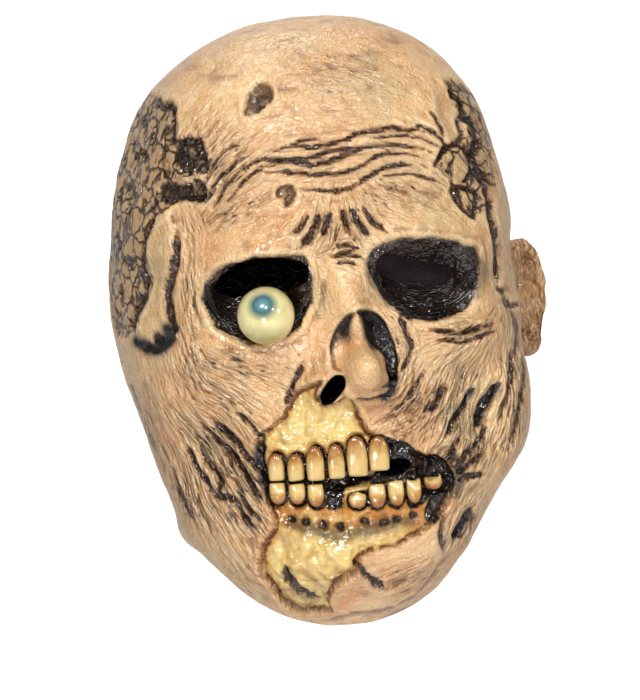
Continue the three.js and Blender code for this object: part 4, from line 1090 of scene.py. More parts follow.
def latexMaterial():
    material, tree, shader = newMaterial("paintedLatex")
    fine = grain(tree, latexLook["grain"])
    streak = streakHeight(tree, latexLook["streak"], 1.0)
    hairline = streakHeight(tree, latexLook["hair"], 0.6)
    ragged = maths(tree, "MULTIPLY", maths(tree, "SUBTRACT", fine["Mottle"], 0.5), latexLook["ragged"])

    def within(name, low, high, share=1.0):
        rough = maths(tree, "MULTIPLY", ragged, share)
        return ranged(tree, maths(tree, "ADD", attribute(tree, name), rough), low, high, 1.0, 0.0)

    def times(a, b):
        return maths(tree, "MULTIPLY", a, b)

    def most(first, *others):
        for other in others:
            first = maths(tree, "MAXIMUM", first, other)
        return first

    def mottled(low, high, toLow, toHigh):
        return ranged(tree, fine["Mottle"], low, high, toLow, toHigh)

    # Bare skin, with painted shade in its hollows and painted highlight on its ridges
    base = mixed(tree, ranged(tree, fine["Mottle"], 0.35, 0.65), paint["tan"], paint["light"])
    base = mixed(tree, ranged(tree, attribute(tree, "shade"), 0.3, 1.0, 0.0, 0.6), base, paint["warm"])
    base = mixed(tree, times(attribute(tree, "moss"), 0.6), base, paint["moss"])
    base = mixed(tree, times(attribute(tree, "blush"), 0.6), base, paint["blush"])
    onSkin = maths(tree, "SUBTRACT", 1.0, within("bone", -0.8, 0.6))
    dark = attribute(tree, "streak")
    # Painted shade in the hollows and painted highlight on the ridges, partly also the mask's own wash pooled in its
    # recesses
    valleyShade = ranged(tree, attribute(tree, "cavity"), 0.06, 0.6, 0.0, 0.75)
    ridgeHighlight = ranged(tree, attribute(tree, "cavity"), -0.05, -0.5, 0.0, 0.5)
    base = mixed(tree, ridgeHighlight, base, paint["light"])
    # A brown veil of painted shade over the hollows and the sides of the face, where the streaks are dense
    shadeVeil = times(dark, ranged(tree, fine["Mottle"], 0.38, 0.62, 0.1, 0.62))
    base = mixed(tree, maths(tree, "MAXIMUM", shadeVeil, valleyShade), base, paint["brown"])
    threshold = addNode(tree, "ShaderNodeMapRange", {"Value": dark, "From Max": 0.9, "To Min": 0.3,
                                                     "To Max": 0.09}, interpolation_type="SMOOTHSTEP").outputs["Result"]
    dashes = ranged(tree, maths(tree, "ADD", hairline, threshold), 0.0, -0.035, 0.0, 1.0)
    furrow = ranged(tree, dark, 0.25, 1.0, 0.3, 0.045)
    fibreShare = ranged(tree, maths(tree, "ADD", streak, furrow), 0.0, -0.04, 0.0, 1.0)
    patchy = ranged(tree, fine["Mottle"], 0.42, 0.56, 0.12, 1.0)
    streakWash = times(maths(tree, "MAXIMUM", dashes, fibreShare), times(patchy, 0.9))
    pores = times(fine["Specks"], ranged(tree, fine["Mottle"], 0.5, 0.62, 0.0, 0.3))
    base = mixed(tree, maths(tree, "MAXIMUM", streakWash, pores), base, paint["wash"])

    # Rotted scalp: plates, cracks and holes
    place = addNode(tree, "ShaderNodeTexCoord").outputs["Object"]
    warp = addNode(tree, "ShaderNodeTexNoise", {"Vector": place, "Detail": 3.0,
                                                "Scale": latexLook["crackWarp"]})
    bent = addNode(tree, "ShaderNodeVectorMath", {0: warp.outputs["Color"], 1: (latexLook["crackReach"],) * 3,
                                                  2: place}, operation="MULTIPLY_ADD")
    cracks = addNode(tree, "ShaderNodeTexVoronoi", feature="DISTANCE_TO_EDGE")
    tree.links.new(bent.outputs["Vector"], cracks.inputs["Vector"])
    cracks.inputs["Scale"].default_value = latexLook["crack"]
    crackLine = ranged(tree, cracks.outputs["Distance"], 0.01, 0.085, 1.0, 0.0)
    worn = addNode(tree, "ShaderNodeTexNoise", {"Vector": place, "Scale": latexLook["hole"], "Detail": 2.0})
    holes = ranged(tree, worn.outputs["Fac"], 0.6, 0.66, 0.0, 1.0)
    rotIn = within("rot", -3.0, 2.0)
    base = mixed(tree, times(rotIn, 0.65), base, paint["plate"])
    # The rot is darkened in its hollows too: painted shade
    rotDark = times(rotIn, most(crackLine, holes, valleyShade))
    base = mixed(tree, rotDark, base, paint["rot"])

    # Bare bone, with a broken brown line and an amber halo at its edge
    boneIn = within("bone", -0.8, 0.6)
    boneColour = mixed(tree, ranged(tree, fine["Mottle"], 0.42, 0.75), paint["bone"], paint["boneShade"])
    amberShare = times(attribute(tree, "amber"), ranged(tree, fine["Mottle"], 0.3, 0.7, 0.5, 1.1))
    boneColour = mixed(tree, amberShare, boneColour, paint["gum"])
    base = mixed(tree, boneIn, base, boneColour)
    edgeGap = maths(tree, "ADD", attribute(tree, "bone"), maths(tree, "ADD", ragged, 1.2))
    edgeGap = maths(tree, "ABSOLUTE", edgeGap)
    edgeLine = times(ranged(tree, edgeGap, 0.4, 2.4, 1.0, 0.0), mottled(0.36, 0.52, 0.35, 1.0))
    edgeHalo = ranged(tree, maths(tree, "ABSOLUTE", attribute(tree, "bone")), 1.0, 9.0, 0.6, 0.0)
    base = mixed(tree, times(edgeHalo, mottled(0.35, 0.65, 0.3, 1.0)), base, paint["gum"])
    base = mixed(tree, times(edgeLine, 0.92), base, paint["boneEdge"])
    # Painted lines: a thin core, a bundle of hairs and a brown halo
    lineDark = attribute(tree, "lineDark")
    lineIn = times(within("line", 0.1, 0.62, 0.1), ranged(tree, lineDark, 0.1, 0.7, 0.0, 1.0))
    lineHalo = times(within("line", 0.4, 2.6, 0.3), ranged(tree, lineDark, 0.05, 0.8, 0.0, 0.7))
    base = mixed(tree, lineHalo, base, paint["brown"])
    bundle = times(within("line", 0.3, 1.15, 0.12), ranged(tree, hairline, 0.035, -0.02, 0.0, 1.0))
    bundle = times(bundle, ranged(tree, lineDark, 0.05, 0.5, 0.0, 1.0))
    lineIn = most(times(lineIn, mottled(0.38, 0.55, 0.35, 1.0)), bundle)
    base = mixed(tree, lineIn, base, paint["wash"])
    # Pits, wounds and gore
    # Pits painted dark; in cheekHollow and flapHollow this is painted shade
    pitIn = pitMask(tree, place)
    base = mixed(tree, pitIn, base, paint["rot"])
    woundIn = within("wound", -1.5, 1.0)
    base = mixed(tree, times(woundIn, mottled(0.35, 0.6, 1.0, 0.55)), base, paint["rot"])
    # Painted shade, with the root stain, goes on in the gore's black
    base = mixed(tree, maths(tree, "MINIMUM", attribute(tree, "paintedShadeAndStain"), 1.0), base, paint["gore"])
    toothLine = within("tooth", 1.5, 2.6, 0.4)
    goreIn = most(within("gore", -1.0, 0.8), within("socket", -1.6, 0.6), toothLine)
    goreColour = mixed(tree, ranged(tree, fine["Mottle"], 0.45, 0.62), paint["gore"], paint["clot"])
    base = mixed(tree, goreIn, base, goreColour)
    # The inner wall is painted near black: a guessed colour for the inside of the latex, kept dark so that it stands in
    # for the shade inside the mask
    base = mixed(tree, attribute(tree, "lining"), base, paint["inside"])
    tree.links.new(base, shader.inputs["Base Color"])

    # Gloss: dark paint, bone and gore look wet
    wet = most(goreIn, edgeLine, times(boneIn, 0.85), woundIn, lineIn, pitIn)
    wet = most(wet, times(most(streakWash, rotDark), 0.7))
    sheen = maths(tree, "SUBTRACT", 1.0, times(wet, latexLook["wetShare"]))
    tree.links.new(times(mottled(0.3, 0.7, *latexLook["drySheen"]), sheen), shader.inputs["Roughness"])

    def ripple(name):
        scale, detail, distortion = latexLook[name]
        node = addNode(tree, "ShaderNodeTexNoise", {"Vector": place, "Scale": scale, "Detail": detail,
                                                    "Distortion": distortion})
        return maths(tree, "SUBTRACT", node.outputs["Fac"], 0.5)

    lively = ranged(tree, dark, 0.05, 0.9, 0.14, 1.5)
    livelySkin = times(lively, onSkin)
    worm = ranged(tree, maths(tree, "ABSOLUTE", ripple("worm")), 0.0, 0.08)
    height = times(maths(tree, "SUBTRACT", streak, times(fibreShare, latexLook["strokeHeight"])), livelySkin)
    raised = ((hairline, "hairHeight", livelySkin), (worm, "wormHeight", onSkin),
              (ripple("boneBroad"), "boneBroadHeight", boneIn),
              (ripple("boneFine"), "boneFineHeight", boneIn),
              (ripple("goreLumps"), "goreHeight", goreIn))
    for pattern, name, where in raised:
        height = maths(tree, "ADD", height, times(times(pattern, latexLook[name]), where))
    sunken = ((most(lineIn, pitIn), "lineHeight"), (most(edgeLine, toothLine), "edgeHeight"),
              (times(rotIn, crackLine), "crackHeight"))
    for pattern, name in sunken:
        height = maths(tree, "SUBTRACT", height, times(pattern, latexLook[name]))
    tree.links.new(bumped(tree, height, 1.0, latexLook["bumpDistance"]), shader.inputs["Normal"])
    shader.inputs["Specular IOR Level"].default_value = latexLook["specular"]
    return material


latex = latexMaterial()

# The casting itself, with its inner wall: every third row and column of the outside, pushed in by the wall,
# further behind bone and deep carving (mm), and a lip round each opening
lining = {"skip": 3, "behindBone": 2.2, "shallow": 0.6, "spare": 0.4, "lip": 3.2}


def gridFaces(rows, columns, drop=None):
    index = np.arange(rows * columns).reshape(rows, columns)
    a, b = index[:-1], index[1:]
    a2, b2 = np.roll(a, -1, 1), np.roll(b, -1, 1)
    quads = np.stack([a, b, b2, a2], 2).reshape(-1, 4)
    if drop is not None:
        quads = quads[~drop[quads].any(1)]
    return quads


def makeCasting():
    outer = finalPoints
    skip = lining["skip"]
    rowPick = np.unique(np.append(np.arange(0, rowCount, skip), rowCount - 1))
    columnPick = np.arange(0, columnCount, skip)
    pick = (rowPick[:, None] * columnCount + columnPick[None, :]).reshape(-1)
    thick = form["wall"] + lining["behindBone"] * smooth(bone[pick], 0.2, 0.9)
    thick += np.clip(-rise[pick] - lining["shallow"], 0, None) + lining["spare"]
    inner = basePoints[pick] - baseNormals[pick] * thick[:, None]
    inner[-len(columnPick):, 2] = finalPoints[pick[-len(columnPick):], 2]
    innerDrop = np.zeros(len(pick), bool)
    for o in openings.values():
        d = signedDistance(inner[:, 0], inner[:, 2], openingLine(o), reach=12.0)
        innerDrop |= (d < 0.4) & frontSide[pick]
    outerPole = [*outer[:columnCount, :2].mean(0), form["wall"]]
    innerPole = [*inner[:len(columnPick), :2].mean(0), -lining["spare"]]
    points = np.concatenate([outer, [outerPole], inner, [innerPole]])
    outerFaces = gridFaces(rowCount, columnCount, inHole)
    top = len(outer)
    base = top + 1
    innerFaces = gridFaces(len(rowPick), len(columnPick), innerDrop)[:, ::-1] + base
    faces = outerFaces.tolist() + innerFaces.tolist()
    innerTop = base + len(inner)
    for i in range(columnCount):
        faces.append([top, i, (i + 1) % columnCount])
    n = len(columnPick)
    for i in range(n):
        faces.append([innerTop, base + (i + 1) % n, base + i])
    lastOuter = (rowCount - 1) * columnCount
    lastInner = base + (len(rowPick) - 1) * n
    for i in range(n):
        a = [lastOuter + (i * skip + j) % columnCount for j in range(skip + 1)]
        faces.append([lastInner + (i + 1) % n, lastInner + i] + a)
    lined = np.zeros(len(points))
    lined[base:] = 1.0

    def spreadField(values, rest=0.0):
        out = np.full(len(points), rest)
        out[:top] = values
        out[top] = values[0]
        return out
    wound = np.minimum.reduce([patchDistance[name] for name in woundDepth])
    socket = np.minimum(patchDistance["socketRight"], patchDistance["socketLeft"])
    rot = np.minimum(patchDistance["scalpRot"], patchDistance["scalpCrack"])
    fields = {
        "bone": spreadField(patchDistance["bone"], 20), "gore": spreadField(patchDistance["gore"], 20),
        "socket": spreadField(socket, 20), "line": spreadField(lineNear, 3),
        "lineDark": spreadField(lineDark),
        "wound": spreadField(wound, 20), "rot": spreadField(rot, 20),
        "tooth": spreadField(toothEdge, 20), "amber": spreadField(np.clip(amber, 0, 1)),
        "streak": spreadField(streakAndShadeShare), "paintedShadeAndStain": spreadField(np.clip(paintedShadeAndStain, 0, 1)),
        "moss": spreadField(np.clip(moss, 0, 1)), "blush": spreadField(np.clip(blush, 0, 1)),
        "shade": spreadField(shade), "cavity": spreadField(cavity), "lining": lined,
    }
    mask = makeMesh("mask_casting", points, faces, latex, fields)
    for k, name in enumerate(("flowA", "flowB", "flowC")):
        addVectors(mask.data, name, np.concatenate([flowCoords[k], np.zeros((len(points) - top, 3))]))
    addVectors(mask.data, "flowShare", np.concatenate([flowShares.T, np.zeros((len(points) - top, 3))]))
    bm = bmesh.new()
    bm.from_mesh(mask.data)
    rim = [e for e in bm.edges if e.is_boundary and all(v.index < top for v in e.verts)]
    grown = bmesh.ops.extrude_edge_only(bm, edges=rim)
    fresh = [g for g in grown["geom"] if isinstance(g, bmesh.types.BMVert)]
    layer = bm.verts.layers.float["lining"]
    for vert in fresh:
        vert.co.y += lining["lip"] * mm
        vert[layer] = 1.0
    loose = [vert for vert in bm.verts if not vert.link_faces]
    bmesh.ops.delete(bm, geom=loose, context="VERTS")
    bm.to_mesh(mask.data)
    bm.free()
    mask.data.polygons.foreach_set("use_smooth", [True] * len(mask.data.polygons))
    mask.data.update()
    return mask


mask = makeCasting()
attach(mask, "root")
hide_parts("latex_casting")
print("casting made:", len(mask.data.polygons), "faces")

# Eyeball
eye = {
    "centrePixel": (265, 312), "irisPixel": (262, 302), "irisRadius": 6.5, "segments": 64, "rings": 40,
    "white": rgb(226, 214, 156), "iris": rgb(44, 92, 100), "haze": rgb(104, 146, 150),
    "olive": rgb(140, 126, 62), "grain": 700.0, "roughness": 0.16, "coatRoughness": 0.04,
}


def makeEyeball():
    low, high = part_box("eyeball")
    centre = (low + high) / 2
    radius = (high.x - low.x) / 2
    dx = (eye["irisPixel"][0] - eye["centrePixel"][0]) / picture["pixelsPerMm"] * mm
    dz = -(eye["irisPixel"][1] - eye["centrePixel"][1]) / picture["pixelsPerMm"] * mm
    out = math.sqrt(radius ** 2 - dx ** 2 - dz ** 2)
    gaze = Vector(camAcross) * dx + Vector(camAbove) * dz + Vector(camBack) * out
    gaze.normalize()
    bm = bmesh.new()
    bmesh.ops.create_uvsphere(bm, u_segments=eye["segments"], v_segments=eye["rings"], radius=radius)
    mesh = bpy.data.meshes.new("eyeball_ball")
    bm.to_mesh(mesh)
    bm.free()
    turn = gaze.to_track_quat("Z", "Y").to_matrix().to_4x4()
    mesh.transform(Matrix.Translation(centre) @ turn)
    mesh.polygons.foreach_set("use_smooth", [True] * len(mesh.polygons))
    ball = bpy.data.objects.new("eyeball_ball", mesh)
    bpy.context.scene.collection.objects.link(ball)
    fromGaze = mesh.attributes.new("iris", "FLOAT", "POINT")
    lower = mesh.attributes.new("lower", "FLOAT", "POINT")
    for i, vert in enumerate(mesh.vertices):
        offset = (vert.co - centre) / radius
        fromGaze.data[i].value = math.acos(max(-1, min(1, offset.dot(gaze)))) * radius / mm
        lower.data[i].value = -offset.dot(Vector(camAbove))
    material, tree, shader = newMaterial("eyeballGloss")
    fine = grain(tree, eye["grain"])
    white = mixed(tree, ranged(tree, fine["Mottle"], 0.4, 0.7, 0.0, 0.4), eye["white"], eye["olive"])
    # Painted shade: the lower side of the ball turns darker olive
    white = mixed(tree, ranged(tree, attribute(tree, "lower"), 0.35, 0.95, 0.0, 0.75), white, eye["olive"])
    uneven = ranged(tree, fine["Mottle"], 0.3, 0.7, -0.5, 0.5)
    edge = ranged(tree, maths(tree, "ADD", attribute(tree, "iris"), uneven), eye["irisRadius"] - 2.6,
                  eye["irisRadius"] + 1.5, 1.0, 0.0)
    iris = mixed(tree, ranged(tree, attribute(tree, "iris"), 0.8, 4.6), eye["haze"], eye["iris"])
    colour = mixed(tree, edge, white, iris)
    tree.links.new(colour, shader.inputs["Base Color"])
    shader.inputs["Roughness"].default_value = eye["roughness"]
    shader.inputs["Coat Weight"].default_value = 1.0
    shader.inputs["Coat Roughness"].default_value = eye["coatRoughness"]
    mesh.materials.append(material)
    return ball


ball = makeEyeball()
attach(ball, "root")
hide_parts("eyeball")
print("eyeball made")

# Teeth: each fills its solid's box
teethLook = {
    "rings": 20, "sides": 24, "enamel": rgb(210, 180, 116), "aged": rgb(204, 166, 96),
    "root": rgb(150, 90, 30), "stainAndShade": rgb(100, 58, 24), "grain": 1100.0, "roughness": 0.24,
    "coat": 0.6, "coatRoughness": 0.1, "bumpDistance": 0.0006,
}
brokenTeeth = {"tooth_lower_4": 0.45, "tooth_lower_8": 0.5, "tooth_lower_7": 0.2}  # share of the height


def teethMaterial():
    material, tree, shader = newMaterial("agedTeeth")
    fine = grain(tree, teethLook["grain"])
    colour = mixed(tree, ranged(tree, fine["Mottle"], 0.4, 0.7), teethLook["enamel"], teethLook["aged"])
    uneven = ranged(tree, fine["Mottle"], 0.3, 0.7, -0.2, 0.2)
    rootShare = ranged(tree, maths(tree, "ADD", attribute(tree, "root"), uneven), 0.42, 0.9)
    colour = mixed(tree, rootShare, colour, teethLook["root"])
    # Brown on the flanks towards the next teeth and at the root end: partly stain, partly painted shade between the
    # teeth
    colour = mixed(tree, attribute(tree, "stainAndShade"), colour, teethLook["stainAndShade"])
    tree.links.new(colour, shader.inputs["Base Color"])
    shader.inputs["Roughness"].default_value = teethLook["roughness"]
    shader.inputs["Coat Weight"].default_value = teethLook["coat"]
    shader.inputs["Coat Roughness"].default_value = teethLook["coatRoughness"]
    tree.links.new(bumped(tree, fine["Mottle"], 0.3, teethLook["bumpDistance"]), shader.inputs["Normal"])
    return material


enamel = teethMaterial()


def toothSection(t):
    # Half width and half depth along the tooth: 0 at the biting edge, 1 at the arched root
    wide = 0.93 + 0.07 * min(t / 0.35, 1)
    deep = 0.42 + 0.58 * math.sin(min(t * 1.5, 1) * math.pi / 2)
    if t < 0.1:
        bevel = math.sqrt(max(0, 1 - (1 - t / 0.1) ** 2))
        wide *= 0.82 + 0.18 * bevel
        deep *= 0.4 + 0.6 * bevel
    if t > 0.45:
        arch = max(0, 1 - ((t - 0.45) / 0.55) ** 2.3) ** 0.55
        wide *= 0.1 + 0.9 * arch
        deep *= 0.45 + 0.55 * arch
    return wide, deep


def makeTooth(name, seed):
    low, high = [np.array(c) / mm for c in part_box(name)]
    way = -1 if "upper" in name else 1
    centre, half = (low + high) / 2, (high - low) / 2
    rng = np.random.default_rng(seed)
    rings, sides = teethLook["rings"], teethLook["sides"]
    points, root, stainAndShade = [], [], []
    slant = rng.uniform(-0.09, 0.09)
    for r in range(rings + 1):
        t = r / rings
        wide, deep = toothSection(t)
        for s in range(sides):
            a = 2 * math.pi * s / sides
            c, q = math.cos(a), math.sin(a)
            k = (abs(c) ** 2.5 + abs(q) ** 2.5) ** (-1 / 2.5)
            flute = 1 - 0.05 * math.cos(c * k * 7 + seed) * (q < 0)
            x = centre[0] + half[0] * wide * c * k
            y = centre[1] + half[1] * deep * q * k * flute
            z = centre[2] + (1 - 2 * t) * way * half[2] + slant * (1 - t) * c * half[0]
            if name in brokenTeeth and t < 0.5:
                jagged = 1.6 + math.sin(a * 2 + seed) + 0.5 * math.sin(a * 5)
                z -= way * (0.5 - t) * brokenTeeth[name] * half[2] * jagged
            points.append((x, y, z))
            root.append(t)
            # Brown share on the flanks facing the next teeth and at the root end: partly stain, partly painted shade
            stainAndShade.append(min(1, 0.75 * abs(c * k) ** 9 + 0.35 * (t > 0.9) + 0.1 * rng.random()))
    faces = []
    for r in range(rings):
        for s in range(sides):
            a, b = r * sides + s, r * sides + (s + 1) % sides
            faces.append([a, b, b + sides, a + sides] if way < 0 else [a, a + sides, b + sides, b])
    last = rings * sides
    edge, end = list(range(sides)), [last + s for s in range(sides)]
    faces += [edge[::-1], end] if way < 0 else [edge, end[::-1]]
    inBox = np.clip(points, low, high)
    return makeMesh(name + "_enamel", inBox, faces, enamel, {"root": root, "stainAndShade": stainAndShade})


for i, name in enumerate(teethNames):
    tooth = makeTooth(name, 30 + i)
    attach(tooth, "root")
    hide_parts(name)
print("teeth made:", len(teethNames))

# Ear: the box it is cut from, in mm, and the depth of its folds
ear = {"low": (88.5, -20, -192), "high": (130, 70, -55), "fold": 1.5, "crumple": 0.6}

solids = {name: bpy.data.objects[name] for name in ("latex_casting", "eye_gauze")}


def solidTree(name):
    mesh = solids[name].data
    corners = [vert.co.copy() for vert in mesh.vertices]
    return BVHTree.FromPolygons(corners, [list(face.vertices) for face in mesh.polygons])


gauzeTree = solidTree("eye_gauze")


def makeEar():
    # The solid's own ear, cut from a copy, smoothed and given folds
    source = solids["latex_casting"].data
    bm = bmesh.new()
    bm.from_mesh(source)
    bmesh.ops.remove_doubles(bm, verts=bm.verts, dist=0.00001)

    def inEar(face):
        middle = face.calc_center_median() / mm
        return all(low < c < high for low, c, high in zip(ear["low"], middle, ear["high"]))

    bmesh.ops.delete(bm, geom=[f for f in bm.faces if not inEar(f)], context="FACES")
    bmesh.ops.subdivide_edges(bm, edges=bm.edges, cuts=3, use_grid_fill=True, smooth=0.6)
    bm.normal_update()
    mesh = bpy.data.meshes.new("mask_ear")
    bm.to_mesh(mesh)
    bm.free()
    return mesh


# Dark net behind the left eye hole: pitch, thread radius and weave in mm
net = {"pitch": 0.95, "thread": 0.16, "sides": 5, "weave": 0.12, "behind": 0.3, "colour": rgb(52, 38, 38),
       "roughness": 0.7}


def netTree():
    tree = bpy.data.node_groups.new("gauzeNet", "GeometryNodeTree")
    tree.interface.new_socket("Geometry", in_out="INPUT", socket_type="NodeSocketGeometry")
    radius = tree.interface.new_socket("Thread Radius", in_out="INPUT", socket_type="NodeSocketFloat")
    radius.default_value = net["thread"] * mm
    sides = tree.interface.new_socket("Thread Sides", in_out="INPUT", socket_type="NodeSocketInt")
    sides.default_value = net["sides"]
    material = tree.interface.new_socket("Material", in_out="INPUT", socket_type="NodeSocketMaterial")
    tree.interface.new_socket("Geometry", in_out="OUTPUT", socket_type="NodeSocketGeometry")
    start = addNode(tree, "NodeGroupInput")
    lines = addNode(tree, "GeometryNodeMeshToCurve", {"Mesh": start.outputs["Geometry"]})
    profile = addNode(tree, "GeometryNodeCurvePrimitiveCircle",
                      {"Resolution": start.outputs["Thread Sides"], "Radius": start.outputs["Thread Radius"]})
    tubes = addNode(tree, "GeometryNodeCurveToMesh",
                    {"Curve": lines.outputs["Curve"], "Fill Caps": True,
                     "Profile Curve": profile.outputs["Curve"]})
    real = addNode(tree, "GeometryNodeRealizeInstances", {"Geometry": tubes.outputs["Mesh"]})
    dressed = addNode(tree, "GeometryNodeSetMaterial", {"Geometry": real.outputs["Geometry"],
                                                        "Material": start.outputs["Material"]})
    end = addNode(tree, "NodeGroupOutput")
    tree.links.new(dressed.outputs["Geometry"], end.inputs["Geometry"])
    return tree, {"radius": radius.identifier, "sides": sides.identifier, "material": material.identifier}


tubeTree, tubeInputs = netTree()


def tubesFrom(name, points, edges, radius, sides, material):
    mesh = bpy.data.meshes.new(name + "_lines")
    mesh.from_pydata((np.array(points) * mm).tolist(), edges, [])
    carrier = bpy.data.objects.new(name + "_lines", mesh)
    bpy.context.scene.collection.objects.link(carrier)
    modifier = carrier.modifiers.new("net", "NODES")
    modifier.node_group = tubeTree
    modifier[tubeInputs["radius"]] = radius * mm
    modifier[tubeInputs["sides"]] = sides
    modifier[tubeInputs["material"]] = material
    graph = bpy.context.evaluated_depsgraph_get()
    result = bpy.data.meshes.new_from_object(carrier.evaluated_get(graph))
    bpy.data.objects.remove(carrier)
    result.name = name
    result.polygons.foreach_set("use_smooth", [True] * len(result.polygons))
    obj = bpy.data.objects.new(name, result)
    bpy.context.scene.collection.objects.link(obj)
    return obj


def makeGauze():
    low, high = [np.array(c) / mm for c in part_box("eye_gauze")]
    nx = int((high[0] - low[0]) / net["pitch"])
    nz = int((high[2] - low[2]) / net["pitch"])
    index, points, edges = {}, [], []
    for i in range(nx + 1):
        for j in range(nz + 1):
            x = low[0] + (i + 0.5) * net["pitch"]
            z = low[2] + (j + 0.5) * net["pitch"]
            hit = gauzeTree.ray_cast(Vector((x * mm, -0.2, z * mm)), Vector((0, 1, 0)))
            if hit[0] is None:
                continue
            wave = net["weave"] * (1 if (i + j) % 2 else -1)
            index[(i, j)] = len(points)
            points.append((x, hit[0].y / mm + net["behind"] + wave, z))
    for (i, j), k in index.items():
        for other in ((i + 1, j), (i, j + 1)):
            if other in index:
                edges.append((k, index[other]))
    material, tree, shader = newMaterial("darkNet")
    shader.inputs["Base Color"].default_value = net["colour"]
    shader.inputs["Roughness"].default_value = net["roughness"]
    return tubesFrom("eye_gauze_net", points, edges, net["thread"], net["sides"], material)


gauze = makeGauze()
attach(gauze, "root")
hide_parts("eye_gauze")
print("gauze woven:", len(gauze.data.polygons), "faces")

# Black glossy strings of tissue in the sockets: picture pixels and degrees, radius in mm
strings = {
    "socketRight": {
        "centre": (258, 283), "from": 22, "to": 176, "inner": (52, 13), "outer": (53, 57), "count": 16},
    "socketLeft": {
        "centre": (424, 268), "from": 10, "to": 178, "inner": (44, 17), "outer": (52, 51), "count": 12},
}
stringLook = {"radius": 0.45, "sides": 8, "steps": 26, "lift": 0.25, "roughness": 0.12}


def stringMaterial():
    material, tree, shader = newMaterial("wetTissue")
    shader.inputs["Base Color"].default_value = paint["gore"]
    shader.inputs["Roughness"].default_value = stringLook["roughness"]
    return material


tissue = stringMaterial()


def makeStrings(name, spec, seed):
    rng = np.random.default_rng(seed)
    points, edges = [], []
    for k in range(spec["count"]):
        share = (k + 0.5) / spec["count"] + rng.uniform(-0.02, 0.02)
        start = math.radians(spec["from"] + rng.uniform(0, 22))
        stop = math.radians(spec["to"] - rng.uniform(0, 22))
        steps = stringLook["steps"]
        first = len(points)
        phase = rng.uniform(0, 6.3)
        for s in range(steps + 1):
            a = start + (stop - start) * s / steps
            wander = 1.6 * math.sin(a * 4 + phase) + 0.8 * math.sin(a * 9 + phase * 2)
            rx = spec["inner"][0] + (spec["outer"][0] - spec["inner"][0]) * share + wander
            ry = spec["inner"][1] + (spec["outer"][1] - spec["inner"][1]) * share + wander
            p, n = surfaceAt(spec["centre"][0] + rx * math.cos(a), spec["centre"][1] + ry * math.sin(a))
            points.append(p + n * stringLook["lift"])
        edges += [(first + s, first + s + 1) for s in range(steps)]
    return tubesFrom(name, points, edges, stringLook["radius"], stringLook["sides"], tissue)


for i, (name, spec) in enumerate(strings.items()):
    piece = makeStrings(name + "_strings", spec, 70 + i)
    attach(piece, "root")
print("tissue strings laid")

# The ear as a piece of its own over the solid's ear
earMesh = makeEar()
earPoints = np.array([vert.co for vert in earMesh.vertices]) / mm
earNormals = np.array([vert.normal for vert in earMesh.vertices])
ex, ey, ez = earPoints.T
earFold = noise(ex / 7, ey / 6, ez / 15, 211)
earRise = ear["fold"] * earFold + ear["crumple"] * noise(ex / 3, ey / 3, ez / 4, 212)
earRise *= smooth(ex, 90, 97)
for vert, co in zip(earMesh.vertices, (earPoints + earNormals * (earRise - 0.4)[:, None]) * mm):
    vert.co = co
# The ear gets painted shade in the hollows of its folds, painted highlight on their ridges and a steady brown veil of
# painted shade
earRest = {"bone": 20, "gore": 20, "socket": 20, "line": 3, "wound": 20, "rot": 20, "tooth": 20,
           "shade": 0.9, "streak": 0.55, "cavity": np.clip(-0.5 * earRise, -1, 1)}
for key in latexFields:
    layer = earMesh.attributes.new(key, "FLOAT", "POINT")
    layer.data.foreach_set("value", (np.zeros(len(ex)) + earRest.get(key, 0.0)).astype(np.float32))
addVectors(earMesh, "flowA", np.stack([ex, ey, ez / 3], 1))
addVectors(earMesh, "flowShare", np.tile([1.0, 0.0, 0.0], (len(ex), 1)))
earMesh.materials.append(latex)
earMesh.polygons.foreach_set("use_smooth", [True] * len(earMesh.polygons))
earPiece = bpy.data.objects.new("mask_ear", earMesh)
bpy.context.scene.collection.objects.link(earPiece)
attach(earPiece, "root")
print("ear made")

# Backdrop and floor in one sweep, well below the mask
studio = {
    "floor": -0.75, "wall": 2.6, "bend": 0.8, "half": 4.2, "fore": -2.6, "high": 3.6,
    "colour": (0.9, 0.9, 0.9, 1), "glow": 0.6, "air": (0.96, 0.97, 1.0, 1), "airLight": 0.14, "airSeen": 0.95,
    "aim": (0, -0.03, -0.14),
}

# Lights: place in metres, diameter, watts
lights = {
    "keyLight": {"at": (-0.45, -1.2, 0.8), "size": 0.26, "power": 9.8, "colour": (1.0, 0.985, 0.955)},
    "sparkLight": {"at": (-0.12, -1.5, 0.75), "size": 0.1, "power": 11.0},
    "sideSpark": {"at": (0.55, -1.4, 0.45), "size": 0.08, "power": 3.4},
    "fillLight": {"at": (1.0, -1.0, 0.2), "size": 0.2, "power": 3.4},
    "lowLight": {"at": (-0.4, -1.3, -0.5), "size": 0.25, "power": 5.6},
    "backdropLight": {"at": (0, 0.9, 2.2), "size": 1.8, "power": 30, "aim": (0, 2.3, -0.3)},
}


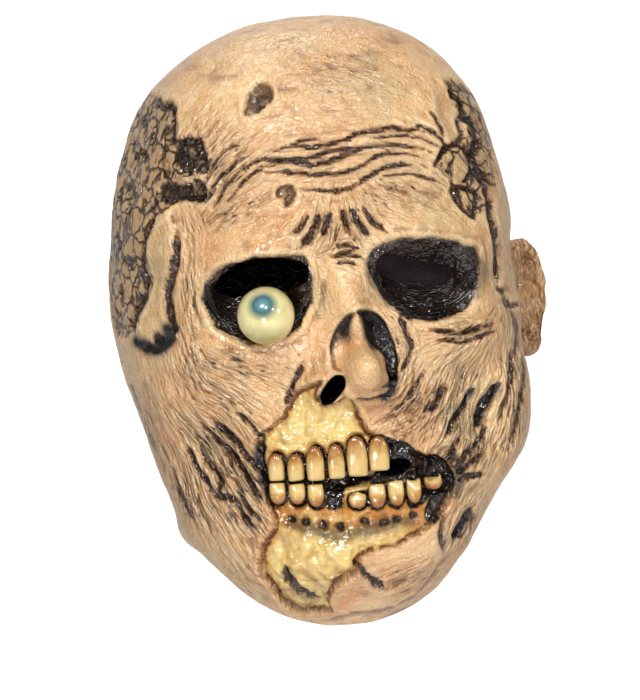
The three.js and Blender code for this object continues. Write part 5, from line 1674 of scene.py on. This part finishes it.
def makeSweep():
    profile = [(studio["fore"], studio["floor"])]
    for i in range(17):
        a = math.pi / 2 * i / 16
        profile.append((studio["wall"] - studio["bend"] + studio["bend"] * math.sin(a),
                        studio["floor"] + studio["bend"] * (1 - math.cos(a))))
    profile.append((studio["wall"], studio["high"]))
    points, faces = [], []
    for y, z in profile:
        points += [(-studio["half"] / mm, y / mm, z / mm), (studio["half"] / mm, y / mm, z / mm)]
    for i in range(len(profile) - 1):
        faces.append([2 * i, 2 * i + 1, 2 * i + 3, 2 * i + 2])
    material, tree, shader = newMaterial("backdrop")
    shader.inputs["Base Color"].default_value = studio["colour"]
    shader.inputs["Roughness"].default_value = 0.9
    shader.inputs["Emission Color"].default_value = (1, 1, 1, 1)
    seen = addNode(tree, "ShaderNodeLightPath").outputs["Is Camera Ray"]
    tree.links.new(maths(tree, "MULTIPLY", seen, studio["glow"]), shader.inputs["Emission Strength"])
    return makeMesh("backdrop", points, faces, material)


makeSweep()


def addLight(name, spec):
    data = bpy.data.lights.new(name, "AREA")
    data.shape = "DISK"
    data.size = spec["size"]
    data.energy = spec["power"]
    data.color = spec.get("colour", (1, 1, 1))
    light = bpy.data.objects.new(name, data)
    light.location = spec["at"]
    way = Vector(spec.get("aim", studio["aim"])) - Vector(spec["at"])
    light.rotation_euler = way.to_track_quat("-Z", "Y").to_euler()
    bpy.context.scene.collection.objects.link(light)


for name, spec in lights.items():
    addLight(name, spec)

world = bpy.data.worlds.new("studioAir")
world.use_nodes = True
airTree = world.node_tree
air = airTree.nodes["Background"]
air.inputs["Color"].default_value = studio["air"]
seen = addNode(airTree, "ShaderNodeLightPath").outputs["Is Camera Ray"]
airStrength = ranged(airTree, seen, 0.0, 1.0, studio["airLight"], studio["airSeen"])
airTree.links.new(airStrength, air.inputs["Strength"])
bpy.context.scene.world = world


def makeCamera():
    scale = picture["pixelsPerMm"]
    centreU, centreV = picture["width"] / 2, picture["height"] / 2
    aim = np.array(picture["target"], float)
    aim = aim + camAcross * (centreU - picture["targetPixel"][0]) / scale
    aim = aim - camAbove * (centreV - picture["targetPixel"][1]) / scale
    place = (aim + camBack * picture["distance"]) * mm
    data = bpy.data.cameras.new("pictureCamera")
    longSide = max(picture["width"], picture["height"])
    data.sensor_width = picture["sensor"]
    data.lens = picture["sensor"] * picture["distance"] * scale / longSide
    camera = bpy.data.objects.new("pictureCamera", data)
    turn = Matrix((camAcross, camAbove, camBack)).transposed().to_4x4()
    camera.matrix_world = Matrix.Translation(Vector(place)) @ turn
    bpy.context.scene.collection.objects.link(camera)
    bpy.context.scene.camera = camera


makeCamera()
bpy.context.scene.view_settings.view_transform = "Standard"
print("lights and camera set")
